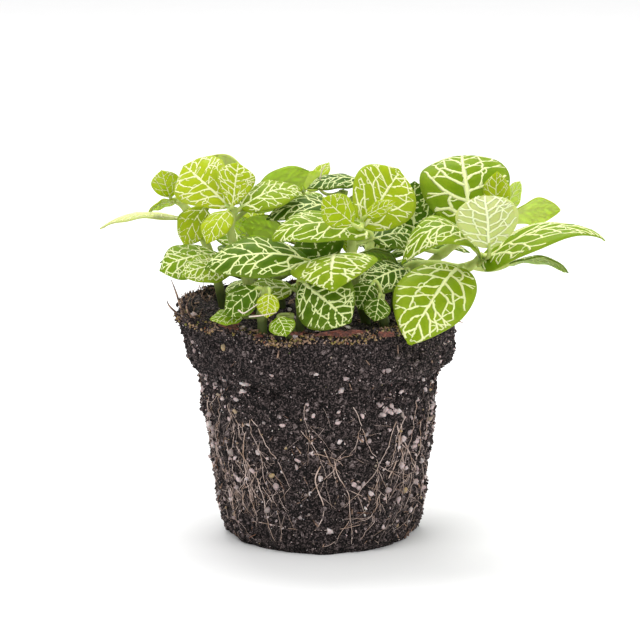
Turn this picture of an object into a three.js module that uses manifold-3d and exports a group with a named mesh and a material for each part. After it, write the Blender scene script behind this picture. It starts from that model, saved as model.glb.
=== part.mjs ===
// A nerve plant lifted out of its nursery pot: leafy stems growing from a bare root ball that
// still has the pot's shape. Millimetres, +Z up, the front faces -Y, and the origin is the
// middle of the ball's flat foot.

import * as THREE from 'three';
import { mergeVertices } from 'three/addons/utils/BufferGeometryUtils.js';
import Module from 'manifold-3d';

const wasm = await Module();
wasm.setup();

// Driving dimensions of the root ball
const BALL_SIDES = 36;
const FOOT_SPREAD = 34.5;
// height, radius and sideways shift of the moulded side, from the foot up to the rim
const SIDE = [
  [0, 33.9, 1.3],
  [3, 35.4, 1.4],
  [13, 36.7, 1.4],
  [24, 38, 1.3],
  [36, 39.6, 0.9],
  [48, 41.2, 0.8],
  [59.8, 42.6, 0.8],
  [62.2, 43.4, 0.8],
  [63.1, 46.4, 0.6],
  [66, 47.3, 0.6],
  [72, 48, 0.4],
  [80.5, 48.7, -0.6],
];
// height and radius of the top, from the rim in to the middle
const TOP = [[81.6, 46.6], [80.5, 43], [80, 33], [80.4, 17]];
const SOIL_HEIGHT = 80;
const COLLAR = 78;
const SEED = 29;

// Perlite grains that stand out of the soil
const GRAINS = 30;
const GRAIN_RADIUS = [0.9, 2.1];
const GRAIN_SUNK = 0.35;
const GRAIN_HEIGHTS = [4, 78];

// Roots on the ball's side: one circles the foot and the others hang down to it
const ROOT_RADIUS = 0.75;
const ROOT_SIDES = 3;
const ROOT_CLEARANCE = 0.5;
const POCKET_SIZE = 1.4;
const HANGING_ROOTS = 7;
const HANGING_STEPS = 6;
const HANGING_START = [30, 56];
const HANGING_END_DEPTH = 1.2;
const CIRCLING_STEPS = 24;
const CIRCLING_HEIGHT = [6, 11];
const CIRCLING_TURN = 5.9;

// Stems and leaves
const STEM_RADIUS = 1.65;
const STEM_SIDES = 5;
const STEM_DEPTH = 9;
const STALK_RADIUS = 0.8;
const STALK_SHARES = [0, 0.55, 1];
const STALK_BEND = 0.45;
const BLADE_THICKNESS = 0.7;
const BLADE_STEPS = 6;
const WIDE_BLADE = 22;
const BLADE_EDGE_CURL = 0.22;
const FOLD_SOFTNESS = 0.01;
const RIB_RISE_AT = 0.35;
const RIB_LIFT = 1.1;
const TIP_SHARE = 0.06;
const BLADE_POINT = [0.5, 0.8];
const CLEARANCE = 0.35;
const SHORTEST_EDGE = 0.01;
const SAME_PLACE = 1e-4;

const COLOURS = {
  root_ball: 0x3a312c,
  root_net: 0xb08f6c,
  young: 0xa9c91f,
  bright: 0x7fa81b,
  mature: 0x4b8017,
};

// A leaf is: place along the stem, base of the blade, tip, width, the way its upper side faces,
// arch of its midrib and fold along it. The rest can have a twist in degrees, the place where
// the midrib hooks down, and a peak, which is larger where the blade is widest near its tip
const leaf = (on, base, tip, width, face, arch, fold, rest = {}) => (
  { on, base, tip, width, face, arch, fold, twist: 0, hook: 0.72, peak: 0.9, ...rest }
);

const SHOOTS = [
  {
    name: 'left_crown',
    tone: 'young',
    stem: [[-19.5, -14, 87], [-27, -15, 101.5], [-30.5, -14, 112], [-30, -13, 121]],
    leaves: [
      leaf(0.95, [-31, -14, 121], [-47.5, 2, 133], 21, [-0.35, -0.7, 0.65], 0.16, 0.12, { peak: 1.3 }),
      leaf(1, [-30, -16, 121.5], [-28, -9, 136], 14, [0.15, -1, 0.3], 0.1, 0.12, { peak: 1.45 }),
      leaf(0.97, [-26.5, -4.5, 121], [-38.5, 6, 136], 16, [0.15, 1, 0.35], 0.1, 0.1, { peak: 1.1 }),
      leaf(0.97, [-31.5, -16, 120], [-38.5, -25, 110], 11.5, [-0.35, -0.75, 0.6], 0.15, 0.1),
      leaf(0.9, [-27, -13, 120.5], [-5.5, -6, 126], 16, [-0.15, -0.5, 0.85], 0.16, 0.1),
      leaf(0.85, [-24, -3, 119], [-3, 7, 130.5], 16, [-0.45, 0.85, 0.35], 0.08, 0.1),
      leaf(0.42, [-33.5, -12, 103.5], [-55.5, -18, 99], 17, [-0.1, -0.6, 0.78], 0.16, 0.06,
        { peak: 1.4 }),
      leaf(0.3, [-30, -20, 101], [-47.5, -28, 99], 14.5, [-0.1, -0.6, 0.78], 0.14, 0.06),
    ],
  },
  {
    name: 'far_left',
    tone: 'young',
    stem: [[-34, 8, 86], [-39, 8, 101.5], [-45, 7, 114], [-50, 7, 120.5]],
    leaves: [
      leaf(1, [-52.5, 6, 121], [-55.5, 5, 131], 10.5, [-0.1, -1, 0.1], 0.05, 0.15, { peak: 1.1 }),
      leaf(0.97, [-50.5, 5, 119.5], [-60, 0, 117], 8, [0, 0.6, 0.8], 0.18, 0.1),
      leaf(0.8, [-49, 8.5, 113], [-78, 10, 109], 14, [0, 0.05, 1], 0.16, 0.05),
      leaf(0.66, [-40, 2, 118], [-47.5, 0, 105], 15, [-0.55, -0.75, 0.25], 0.14, 0.12),
    ],
  },
  {
    name: 'centre_crown',
    tone: 'bright',
    stem: [[17, -18, 90], [12.5, -20, 102.5], [12.5, -21, 110.5], [15.5, -22, 117.5]],
    leaves: [
      leaf(0.97, [16, -22, 115], [29, -6, 133], 25, [0.35, -0.87, 0.4], 0.06, 0.28, { peak: 1.1 }),
      leaf(0.98, [12.4, -38, 119.2], [2, -42, 129], 12, [-0.25, -0.9, 0.45], 0.1, 0.15, { peak: 1.1 }),
      leaf(1, [17, -24, 119.5], [27.5, -24, 124.5], 6, [0.2, -0.8, 0.6], 0.1, 0.2),
      leaf(0.75, [18.5, -26, 114], [-15.5, -36, 113], 17.5, [-0.1, -0.5, 0.86], 0.22, 0.05,
        { hook: 0.86 }),
      leaf(0.72, [19.5, -14, 109.5], [36.5, -6, 108], 14, [0.05, -0.55, 0.85], 0.18, 0.05),
      leaf(0.55, [11.5, -8, 117.5], [-18, -8, 115.5], 16, [-0.05, -0.4, 0.92], 0.22, 0.05),
      leaf(0.3, [1.5, -18, 101.5], [-2, -13, 112], 20, [0, -1, 0.2], 0.08, 0.08),
      leaf(0.35, [31.5, -15, 99], [14, -31, 94], 14, [0.25, -0.6, 0.75], 0.16, 0.08),
      leaf(0.45, [12.5, -12, 103], [29, -8.5, 99.5], 12, [0, 0.45, 0.9], 0.24, 0.05),
    ],
  },
  {
    name: 'front_centre',
    tone: 'mature',
    stem: [[-6, -34, 89.5], [-4.5, -33, 97], [-2.5, -31, 103]],
    leaves: [
      leaf(0.98, [-3, -31, 105], [-39, -36, 103.2], 20, [-0.05, -0.58, 0.8], 0.18, 0.06),
      leaf(0.55, [-5, -40, 99.5], [11.5, -48, 86.5], 22.5, [-0.1, -0.95, 0.3], 0.1, 0.1),
      leaf(0.9, [7.5, -31, 106.5], [5.5, -53, 98.5], 31, [-0.22, -0.45, 0.87], 0.3, 0.05),
      leaf(0.5, [-8.5, -31.5, 95], [-27, -31, 92.5], 13, [-0.05, -0.5, 0.87], 0.14, 0.05),
    ],
  },
  {
    name: 'right_crown',
    tone: 'bright',
    stem: [[28, 2, 88], [31, -4, 96.5], [41.5, -9, 99.5], [52, -13, 99], [59, -14, 103.5]],
    leaves: [
      leaf(1, [60, -31, 109.5], [58.5, -29, 127.5], 22, [0, 0.97, 0.2], -0.4, 0.1,
        { hook: 0.8, peak: 1.2 }),
      leaf(0.97, [57.5, -15, 103.5], [29.5, -31, 104], 20, [-0.05, -0.42, 0.9], 0.53, 0.05,
        { hook: 0.82, peak: 0.75 }),
      leaf(0.97, [57.5, -17, 101], [101, -19, 110], 22, [-0.05, -0.45, 0.9], 0.27, 0.06,
        { twist: 34, hook: 0.9, peak: 0.72 }),
      leaf(0.8, [50, -20, 100.5], [32, -46, 78.3], 28, [-0.25, -0.85, 0.45], 0.14, 0.3, { peak: 0.92 }),
      leaf(0.85, [68, -6, 99], [89.5, -4, 95.5], 13, [0.05, 0.35, 0.93], 0.24, 0.05),
    ],
  },
  {
    name: 'right_back',
    tone: 'mature',
    stem: [[31.5, 18, 85], [41.5, 15, 96], [51, 9, 105], [57.5, 5, 115]],
    leaves: [
      leaf(0.9, [54, 2, 111.5], [51.5, 29, 130.5], 32.5, [0, -0.8, 0.6], 0.46, 0.05,
        { hook: 0.74, peak: 0.7 }),
      leaf(1, [64, 0, 116], [64, 2, 131], 11, [-0.45, -0.85, 0.25], 0.05, 0.2),
      leaf(1, [66.5, 4, 116], [72.5, 8, 126.5], 9, [-0.5, 0.8, 0.3], 0.05, 0.1),
      leaf(0.95, [67.5, 4, 113], [87, 8, 116], 15, [-0.1, 0.75, 0.65], 0.18, 0.05, { peak: 1.3 }),
      leaf(0.6, [34.5, 12, 106], [35, 14, 125.5], 18, [0, -1, 0.2], 0.08, 0.05),
    ],
  },
  {
    name: 'front_left',
    tone: 'mature',
    stem: [[-19, -41, 86.5], [-19, -42, 92.5], [-17, -43, 97.5]],
    leaves: [
      leaf(0.9, [-21, -43, 97.5], [-31.5, -46, 88.5], 12, [-0.35, -0.85, 0.45], 0.14, 0.05),
      leaf(1, [-16.5, -47, 96.5], [-17.5, -49.5, 88.5], 8, [0, -1, 0.2], 0.1, 0.08),
      leaf(0.5, [-26, -40, 87], [-37, -43, 86.5], 8, [0, -0.5, 0.85], 0.12, 0.05),
    ],
  },
  {
    name: 'front_low',
    tone: 'bright',
    stem: [[-9, -45, 85], [-9.5, -47, 89]],
    leaves: [leaf(1, [-13.5, -48.5, 88.5], [-10.5, -53.5, 82.8], 9.5, [0.1, -0.9, 0.45], 0.14, 0.05)],
  },
  {
    name: 'front_right',
    tone: 'mature',
    stem: [[23.5, -34, 87.5], [22, -35, 93.5]],
    leaves: [
      leaf(1, [21.5, -39, 93.5], [20, -43, 86], 9.5, [0, -1, 0.3], 0.08, 0.05),
      leaf(0.6, [19, -35, 97.5], [14.5, -37.5, 89], 11.5, [0, -0.9, 0.3], 0.08, 0.05),
    ],
  },
  {
    name: 'mid_back',
    tone: 'young',
    stem: [[4.5, 14, 85], [7, 13, 104.5], [9.5, 12, 122.5]],
    leaves: [
      leaf(0.9, [16, 12, 126], [-3.5, 8, 124], 15, [0, -0.2, 1], 0.16, 0.05),
      leaf(1, [1, 18, 122], [-3.5, 20, 128], 9, [-0.2, 1, 0.2], 0.05, 0.1),
      leaf(0.62, [-11, 4, 107.5], [-27, 5, 112], 14, [-0.1, 0.8, 0.55], 0.1, 0.05),
    ],
  },
];

// The shoots at the back bear pairs of leaves that turn, shorten and rise towards the tip
const BACK_SHOOTS = [
  {
    name: 'back_left',
    stem: [[-22, 22, 82], [-24, 27, 92], [-25, 31, 101]],
    length: 30,
    headings: [165, 101, 130, 45, 80, 260],
  },
  {
    name: 'back_centre',
    stem: [[-2, 33, 82], [-3, 37, 100], [-4, 40, 116]],
    length: 28,
    headings: [124, 58, 92, 8, 50, 230],
  },
  {
    name: 'back_right',
    stem: [[15, 31, 82], [22, 34, 96], [29, 36, 108]],
    length: 30,
    headings: [78, 5, 112, 38, 60, 240],
  },
  {
    name: 'rear_left',
    stem: [[-17, 37, 82], [-19.8, 43, 91.7]],
    length: 19,
    headings: [178, 100, 22],
  },
  {
    name: 'rear_right',
    stem: [[9, 38, 82], [12, 44, 92]],
    length: 19,
    headings: [136, 62, 98],
  },
  {
    name: 'inner_left',
    stem: [[-13, 9, 82], [-14, 12, 88], [-15, 15, 94]],
    length: 20,
    headings: [222, 318, 175, 340, 95, 275],
  },
  {
    name: 'inner_right',
    stem: [[17, 7, 82], [18, 10, 96], [20, 14, 106]],
    length: 22,
    headings: [345, 205, 110, 30, 70, 250],
  },
];
const BACK_START = 0.62;
const BACK_RISE = [2, 40];
const BACK_SHRINK = 0.5;
const BACK_STALK = [5, 2.5];
const BACK_WIDTH = 0.62;
const BACK_ARCH = [0.22, 0.12];
const BACK_FOLD = 0.06;

// Seeded random numbers from 0 to 1
function makeRandom(seed) {
  let state = seed;
  return () => {
    state = (state * 1664525 + 1013904223) % 4294967296;
    return state / 4294967296;
  };
}

const mix = THREE.MathUtils.lerp;
const vector = (point) => new THREE.Vector3(...point);

// Solids

function toSolid(geometry) {
  const bare = geometry.clone();
  bare.deleteAttribute('normal');
  bare.deleteAttribute('uv');
  const merged = mergeVertices(bare, SAME_PLACE);
  return new wasm.Manifold(new wasm.Mesh({
    numProp: 3,
    vertProperties: new Float32Array(merged.attributes.position.array),
    triVerts: new Uint32Array(merged.index.array),
  }));
}

function toGeometry(solid) {
  const mesh = solid.getMesh();
  const geometry = new THREE.BufferGeometry();
  geometry.setAttribute('position', new THREE.BufferAttribute(mesh.vertProperties, mesh.numProp));
  geometry.setIndex(new THREE.BufferAttribute(mesh.triVerts, 1));
  geometry.computeVertexNormals();
  return geometry;
}

const join = (solids) => solids.reduce((whole, solid) => whole.add(solid));

// The main body, without any scrap that a cut left loose
function mainBody(solid) {
  return solid.decompose().sort((a, b) => b.volume() - a.volume())[0];
}

function tube(curve, radius, sides, steps) {
  const round = new THREE.EllipseCurve(0, 0, radius, radius).getPoints(sides).slice(0, sides);
  const section = new THREE.Shape(round);
  return new THREE.ExtrudeGeometry(section, { steps, extrudePath: curve, bevelEnabled: false });
}

// Root ball

function sideAt(height) {
  const last = SIDE.length - 1;
  let above = SIDE.findIndex((row) => row[0] >= height);
  above = above < 0 ? last : Math.max(above, 1);
  const [low, high] = [SIDE[above - 1], SIDE[above]];
  const share = THREE.MathUtils.clamp((height - low[0]) / (high[0] - low[0]), 0, 1);
  return { radius: mix(low[1], high[1], share), shift: mix(low[2], high[2], share) };
}

// Crumbs and hollows of the moulded side, with the foot worn away at two places
function sideLumps(angle, height) {
  const crumbs = 0.5 * Math.sin(7 * angle + 0.21 * height)
    + 0.4 * Math.sin(12 * angle - 0.17 * height + 1.3)
    + 0.3 * Math.sin(17 * angle + 0.4 * height + 2.1);
  const low = Math.max(0, 1 - height / 12);
  const worn = Math.max(0, Math.cos(angle + 2.6)) ** 6 + Math.max(0, Math.cos(angle + 0.5)) ** 8;
  return crumbs - 2.2 * low * worn;
}

// The rim is ragged, and stands higher at the left and at the right behind
function rimRise(angle) {
  return 0.6 * Math.sin(5 * angle + 0.6) + 0.5 * Math.sin(11 * angle)
    + 2.4 * Math.max(0, Math.cos(angle - 2.7)) ** 2
    + 1.6 * Math.max(0, Math.cos(angle - 0.9)) ** 3;
}

function sidePoint(angle, height, proud) {
  const { radius, shift } = sideAt(height);
  const reach = radius + sideLumps(angle, height) + proud;
  return new THREE.Vector3(shift + reach * Math.cos(angle), reach * Math.sin(angle), height);
}

function soilLumps(x, y) {
  return 0.6 * Math.sin(0.23 * x + 1) * Math.cos(0.31 * y) + 0.35 * Math.sin(0.47 * x - 0.3 * y);
}

function ballGeometry() {
  const profile = [
    new THREE.Vector2(0, 0),
    ...SIDE.map(([height, radius]) => new THREE.Vector2(radius, height)),
    ...TOP.map(([height, radius]) => new THREE.Vector2(radius, height)),
    new THREE.Vector2(0, SOIL_HEIGHT),
  ];
  const geometry = new THREE.LatheGeometry(profile, BALL_SIDES);
  geometry.rotateX(Math.PI / 2);
  const places = geometry.attributes.position;
  for (let i = 0; i < places.count; i += 1) {
    const point = new THREE.Vector3().fromBufferAttribute(places, i);
    const reach = Math.hypot(point.x, point.y);
    const angle = Math.atan2(point.y, point.x);
    const { radius, shift } = sideAt(point.z);
    const outer = reach / radius;
    const lumps = point.z < SOIL_HEIGHT - 1 || outer > 0.9 ? sideLumps(angle, point.z) : 0;
    const stretch = reach > 0 ? (reach + lumps * Math.min(outer, 1)) / reach : 1;
    let height = point.z;
    if (height > COLLAR) {
      height += outer > 0.9 ? rimRise(angle) : soilLumps(point.x, point.y);
    }
    places.setXYZ(i, point.x * stretch + shift, point.y * stretch, height);
  }
  return geometry;
}

function grainSolids(random) {
  return Array.from({ length: GRAINS }, () => {
    const size = mix(...GRAIN_RADIUS, random() ** 2);
    const grain = new THREE.OctahedronGeometry(size, 0);
    grain.rotateX(3 * random()).rotateY(3 * random()).scale(1, 0.8 + 0.3 * random(), 1);
    const place = sidePoint(2 * Math.PI * random(), mix(...GRAIN_HEIGHTS, random()), -GRAIN_SUNK * size);
    grain.translate(place.x, place.y, place.z);
    return toSolid(grain);
  });
}

// Roots on the side of the ball

function circlingPoint(turn) {
  const height = mix(...CIRCLING_HEIGHT, turn / CIRCLING_TURN) + 0.8 * Math.sin(5 * turn);
  return sidePoint(turn, height, 0);
}

function rootCurves(random) {
  const circling = Array.from({ length: CIRCLING_STEPS + 1 }, (_, i) => (
    circlingPoint((CIRCLING_TURN * i) / CIRCLING_STEPS)
  ));
  const curves = [{ curve: new THREE.CatmullRomCurve3(circling), steps: CIRCLING_STEPS }];
  for (let i = 0; i < HANGING_ROOTS; i += 1) {
    const foot = (CIRCLING_TURN * (i + 0.3 + 0.4 * random())) / HANGING_ROOTS;
    const sway = 0.16 * (random() - 0.5);
    const lean = 0.3 * (random() - 0.5);
    const start = mix(...HANGING_START, random());
    const end = circlingPoint(foot);
    const points = [end];
    for (let step = 1; step <= HANGING_STEPS; step += 1) {
      const share = step / HANGING_STEPS;
      const angle = foot + lean * share + sway * Math.sin(7 * share);
      points.unshift(sidePoint(angle, mix(end.z, start, share), share === 1 ? -HANGING_END_DEPTH : 0));
    }
    curves.push({ curve: new THREE.CatmullRomCurve3(points), steps: HANGING_STEPS });
  }
  return curves;
}

function rootSolid(curves, radius) {
  return join(curves.map(({ curve, steps }) => toSolid(tube(curve, radius, ROOT_SIDES, steps))));
}

// The grooves that the roots lie in, a little longer than the roots at their free ends
function grooveSolid(curves) {
  const radius = ROOT_RADIUS + ROOT_CLEARANCE;
  const ends = curves.flatMap(({ curve }) => [curve.getPoint(0), curve.getPoint(1)]);
  const pockets = ends.map(({ x, y, z }) => (
    toSolid(new THREE.OctahedronGeometry(POCKET_SIZE * radius).translate(x, y, z))
  ));
  return join([rootSolid(curves, radius), ...pockets]);
}

// Stems and leaves

function stemCurve(stem) {
  const [x, y] = stem[0];
  const points = [[x, y, SOIL_HEIGHT - STEM_DEPTH], [x, y, SOIL_HEIGHT + 2], ...stem.slice(1)];
  return new THREE.CatmullRomCurve3(points.map(vector), false, 'catmullrom');
}

// The blade's midrib, as a curve that leaves the stalk, arches up and ends at the tip
function midrib({ base, tip, face, arch, hook }) {
  const [from, to] = [vector(base), vector(tip)];
  const chord = to.clone().sub(from);
  const along = chord.clone().normalize();
  const up = vector(face);
  up.addScaledVector(along, -up.dot(along)).normalize();
  const lift = up.clone().multiplyScalar(RIB_LIFT * arch * chord.length());
  const curve = new THREE.CubicBezierCurve3(
    from,
    from.clone().addScaledVector(chord, RIB_RISE_AT).add(lift),
    from.clone().addScaledVector(chord, hook).add(lift),
    to,
  );
  return { curve, side: new THREE.Vector3().crossVectors(along, up) };
}

function section(middle, side, tangent, sizes) {
  return { middle, side, up: new THREE.Vector3().crossVectors(side, tangent), ...sizes };
}

function stalkSections(shape, rib, stem) {
  const leaving = rib.curve.getTangent(0);
  const [root, base] = [stem.getPoint(shape.on), rib.curve.getPoint(0)];
  const bend = base.clone().addScaledVector(leaving, -STALK_BEND * root.distanceTo(base));
  const curve = new THREE.QuadraticBezierCurve3(root, bend, base);
  return STALK_SHARES.map((share) => {
    const tangent = curve.getTangent(share);
    const turn = new THREE.Quaternion().setFromUnitVectors(leaving, tangent);
    return section(curve.getPoint(share), rib.side.clone().applyQuaternion(turn), tangent, {
      half: STALK_RADIUS,
      fold: 0,
      curl: 0,
      above: STALK_RADIUS - BLADE_THICKNESS / 2,
      below: STALK_RADIUS + BLADE_THICKNESS / 2,
    });
  });
}

// Half width at a share of the blade's length: blunt at the stalk and pointed at the tip
function bladeOutline(share, peak) {
  const bulge = Math.max(0, Math.sin(Math.PI * share ** peak));
  return Math.max(TIP_SHARE, bulge ** mix(...BLADE_POINT, share));
}

function bladeSections(shape, rib) {
  return Array.from({ length: BLADE_STEPS }, (_, i) => {
    const share = (1 - Math.cos((Math.PI * (i + 1)) / BLADE_STEPS)) / 2;
    const tangent = rib.curve.getTangent(share);
    const turn = THREE.MathUtils.degToRad(shape.twist) * share;
    const side = rib.side.clone().multiplyScalar(Math.cos(turn));
    side.addScaledVector(new THREE.Vector3().crossVectors(rib.side, tangent), Math.sin(turn));
    return section(rib.curve.getPoint(share), side, tangent, {
      half: (shape.width / 2) * bladeOutline(share, shape.peak),
      fold: shape.fold,
      curl: BLADE_EDGE_CURL,
      above: 0,
      below: BLADE_THICKNESS,
    });
  });
}

// A stalk and its blade: two alike sheets, one under the other, with a wall round their edge
function leafGeometry(shape, stem) {
  const rib = midrib(shape);
  const sections = [...stalkSections(shape, rib, stem), ...bladeSections(shape, rib)];
  const long = sections.length - 1;
  const wide = shape.width >= WIDE_BLADE ? 4 : 2;
  const sheet = new THREE.PlaneGeometry(long, 2, long, wide);
  const grid = sheet.attributes.position;
  const points = [];
  for (const upper of [true, false]) {
    for (let i = 0; i < grid.count; i += 1) {
      const { middle, side, up, half, fold, curl, above, below } = sections[i % (long + 1)];
      const across = -grid.getY(i);
      const rise = fold * Math.sqrt(across ** 2 + FOLD_SOFTNESS) - curl * across ** 2;
      points.push(middle.clone()
        .addScaledVector(side, half * across)
        .addScaledVector(up, half * rise + (upper ? above : -below)));
    }
  }
  const upper = Array.from(sheet.index.array);
  const lower = upper.map((vertex) => vertex + grid.count).reverse();
  const row = long + 1;
  const edge = [
    ...Array.from({ length: long }, (_, i) => wide * row + i),
    ...Array.from({ length: wide }, (_, i) => (wide - i) * row + long),
    ...Array.from({ length: long }, (_, i) => long - i),
    ...Array.from({ length: wide }, (_, i) => i * row),
  ];
  const wall = edge.flatMap((a, i) => {
    const b = edge[(i + 1) % edge.length];
    const [c, d] = [a + grid.count, b + grid.count];
    return [b, a, c, b, c, d];
  });
  const geometry = new THREE.BufferGeometry().setFromPoints(points);
  geometry.setIndex([...upper, ...lower, ...wall]);
  return geometry;
}

function backLeaves({ stem, length, headings }) {
  const curve = stemCurve(stem);
  return headings.map((heading, i) => {
    const up = Math.floor(i / 2) / Math.floor((headings.length - 1) / 2);
    const turn = THREE.MathUtils.degToRad(heading);
    const rise = THREE.MathUtils.degToRad(mix(...BACK_RISE, up ** 1.5));
    const reach = length * (1 - BACK_SHRINK * up);
    const on = mix(BACK_START, 1, up);
    const out = new THREE.Vector3(
      Math.cos(turn) * Math.cos(rise),
      Math.sin(turn) * Math.cos(rise),
      Math.sin(rise),
    );
    const base = curve.getPoint(on).addScaledVector(out, mix(...BACK_STALK, up));
    const tip = base.clone().addScaledVector(out, reach);
    return leaf(on, base, tip, BACK_WIDTH * reach, [0, 0, 1], mix(...BACK_ARCH, up), BACK_FOLD);
  });
}

function shootSolid({ stem, leaves }) {
  const curve = stemCurve(stem);
  const parts = [toSolid(tube(curve, STEM_RADIUS, STEM_SIDES, 2 * stem.length + 1))];
  for (const shape of leaves) {
    parts.push(toSolid(leafGeometry(shape, curve)));
  }
  return join(parts).simplify(SHORTEST_EDGE);
}

// Each stem stands in a plain hole of its own shape, a little wider and deeper
function stemHole({ stem }) {
  const curve = stemCurve(stem);
  const hole = tube(curve, STEM_RADIUS + CLEARANCE, STEM_SIDES, 2 * stem.length + 1);
  const places = hole.attributes.position;
  const foot = SOIL_HEIGHT - STEM_DEPTH;
  for (let i = 0; i < places.count; i += 1) {
    if (places.getZ(i) < foot + CLEARANCE) places.setZ(i, foot - CLEARANCE);
  }
  return toSolid(hole);
}

// The plant

const plant = new THREE.Group();

function addNode(name, solid, colour, roughness) {
  const material = new THREE.MeshStandardMaterial({ color: colour, roughness, metalness: 0 });
  const mesh = new THREE.Mesh(toGeometry(solid), material);
  mesh.name = name;
  plant.add(mesh);
}

const shoots = [
  ...SHOOTS,
  ...BACK_SHOOTS.map((shoot) => ({ ...shoot, tone: 'mature', leaves: backLeaves(shoot) })),
];
const random = makeRandom(SEED);
const roots = rootCurves(random);
const ball = join([toSolid(ballGeometry()), ...grainSolids(random)])
  .subtract(grooveSolid(roots))
  .subtract(join(shoots.map(stemHole)));

addNode('root_ball', mainBody(ball), COLOURS.root_ball, 0.95);
addNode('root_net', rootSolid(roots, ROOT_RADIUS), COLOURS.root_net, 0.8);
for (const shoot of shoots) {
  addNode(shoot.name, mainBody(shootSolid(shoot)), COLOURS[shoot.tone], 0.5);
}

export default plant;
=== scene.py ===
"""A nerve plant lifted out of its nursery pot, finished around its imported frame."""

import math
import random

import bmesh
import bpy
import numpy as np
from bpy.props import FloatProperty, FloatVectorProperty, IntProperty, PointerProperty
from mathutils import Euler, Matrix, Vector, noise
from mathutils.kdtree import KDTree


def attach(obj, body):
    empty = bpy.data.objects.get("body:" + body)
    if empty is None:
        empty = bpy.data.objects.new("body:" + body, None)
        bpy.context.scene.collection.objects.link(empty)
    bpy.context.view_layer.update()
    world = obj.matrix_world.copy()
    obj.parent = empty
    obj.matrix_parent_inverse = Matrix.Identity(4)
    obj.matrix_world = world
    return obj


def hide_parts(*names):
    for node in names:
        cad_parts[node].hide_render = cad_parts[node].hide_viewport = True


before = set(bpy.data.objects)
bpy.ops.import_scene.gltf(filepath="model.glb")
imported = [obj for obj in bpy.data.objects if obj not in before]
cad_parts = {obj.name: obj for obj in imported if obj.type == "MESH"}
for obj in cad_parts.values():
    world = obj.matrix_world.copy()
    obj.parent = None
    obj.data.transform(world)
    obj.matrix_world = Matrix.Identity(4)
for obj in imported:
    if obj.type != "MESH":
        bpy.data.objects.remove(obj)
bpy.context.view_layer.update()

bl_info = {
    "name": "Nerve plant",
    "version": (1, 0, 0),
    "blender": (4, 5, 0),
    "location": "3D View > Sidebar > Plant",
    "description": "Builds the leaves, stems, roots and soil of a nerve plant round its frame",
    "category": "Add Mesh",
}

# Lengths are in millimetres unless said otherwise, and turned into metres when a mesh is made
MM = 0.001
TAU = 2 * math.pi

# Root ball: height, radius and sideways shift of the moulded side, from the foot to the rim
SIDE = [
    (0, 33.9, 1.3),
    (3, 35.4, 1.4),
    (13, 36.7, 1.4),
    (24, 38, 1.3),
    (36, 39.6, 0.9),
    (48, 41.2, 0.8),
    (59.8, 42.6, 0.8),
    (62.2, 43.4, 0.8),
    (63.1, 46.4, 0.6),
    (66, 47.3, 0.6),
    (72, 48, 0.4),
    (80.5, 48.7, -0.6),
]
# Height and radius of the top, from the rim in to the middle
TOP = [(81.6, 46.6), (80.5, 43), (80, 33), (80.4, 17), (80, 0)]
SOIL_HEIGHT = 80
COLLAR = 78
STEM_DEPTH = 9
# Where the rim starts, how wide its inner slope is, and where it turns over to the side, all as
# shares of the ball's radius
RIM_FROM = 0.8
RIM_SPAN = 0.1
RIM_TURN = 0.985
# Sideways shift of the top, and the distance of its edge from the middle
TOP_SHIFT = 1
TOP_EDGE = 50
# Waves of the side and the rim: size, repeats round the ball, change with height, and start
SIDE_WAVES = ((0.5, 7, 0.21, 0), (0.4, 12, -0.17, 1.3), (0.3, 17, 0.4, 2.1))
RIM_WAVES = ((0.6, 5, 0, 0.6), (0.5, 11, 0, 0))
# Higher places of the rim: size, direction and sharpness
RIM_RISES = ((2.4, 2.7, 2), (1.6, 0.9, 3))
# Worn places of the foot: direction and sharpness, then their height and depth
WORN_PLACES = ((-2.6, 6), (-0.5, 8))
WORN_HEIGHT = 12
WORN_DEPTH = 2.2
# Small lumps and pits of the soil: size, and repeats a millimetre
GRIT = ((0.6, 0.33), (0.75, 0.7), (0.4, 1.6))

# Roots on the ball's side, as in the frame: one circles the foot and the others hang to it
ROOT_SEED = 29
HANGING_ROOTS = 7
HANGING_STEPS = 6
CIRCLING_STEPS = 24
CIRCLING_HEIGHT = (6, 11)
CIRCLING_TURN = 5.9
HANGING_FROM = (30, 56)
HANGING_PROUD = 0.15
HANGING_END_PROUD = -1.2
# Radii of both kinds along their length, as shares of the larger roots' radius
CIRCLING_GIRTH = (0.35, 0.45, 0.35)
HANGING_GIRTH = (1, 0.9, 0.6)

# Thin roots: length of a step, the radius that turns a step into an angle, their heights, how much
# they wander and are pulled down at each step, and how far they lie over the soil, their ends last
ROOT_PACE = 1.5
ROOT_REACH = 42
ROOT_HEIGHTS = (1.2, 78)
ROOT_WANDER = 0.12
ROOT_PULL = 0.035
ROOT_PROUD = 0.35
ROOT_END_PROUD = -0.5

# Loose bits: their heights on the side, and how far from the middle they lie on the top
SIDE_BITS = (0.8, 81)
TOP_BITS = 49.5
# Grains and root hairs that crowd at the front: their share, directions and spread
CROWD_SHARE = 0.35
CROWDS = (-2.5, -0.6)
CROWD_SPREAD = 0.35

# Blades: segments of the mesh, arch of the midrib, curl of the margin, width of the tip as a
# share, how pointed the base and the tip are, and the height and number of the margin's ruffles
BLADE_LONG = 28
BLADE_WIDE = 14
ARCH_LIFT = 1.1
ARCH_FROM = 0.35
EDGE_CURL = 0.22
TIP_SHARE = 0.06
BLADE_POINT = (0.5, 0.8)
RUFFLE = 0.3
RUFFLES = 2.3
# Swelling between the main veins, its reach on a blade of length 1, and the blades with all of it
PUFF = 0.38
PUFF_REACH = 0.035
PUFF_WIDTH = 18

# Vein patterns: large blades have the full net, and small ones fewer and thinner veins
VEIN_PATTERNS = 6
VEIN_SEED = 11
LARGE_BLADE = 16
SMALL_PAIRS = (4, 5)
SMALL_GIRTH = 0.68
VEIN_PROUD = 0.05
# The veins grow on a plain blade of length 1 with this half width, and keep off its margin
TYPICAL_HALF = 0.31
VEIN_MARGIN = 0.97
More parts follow.
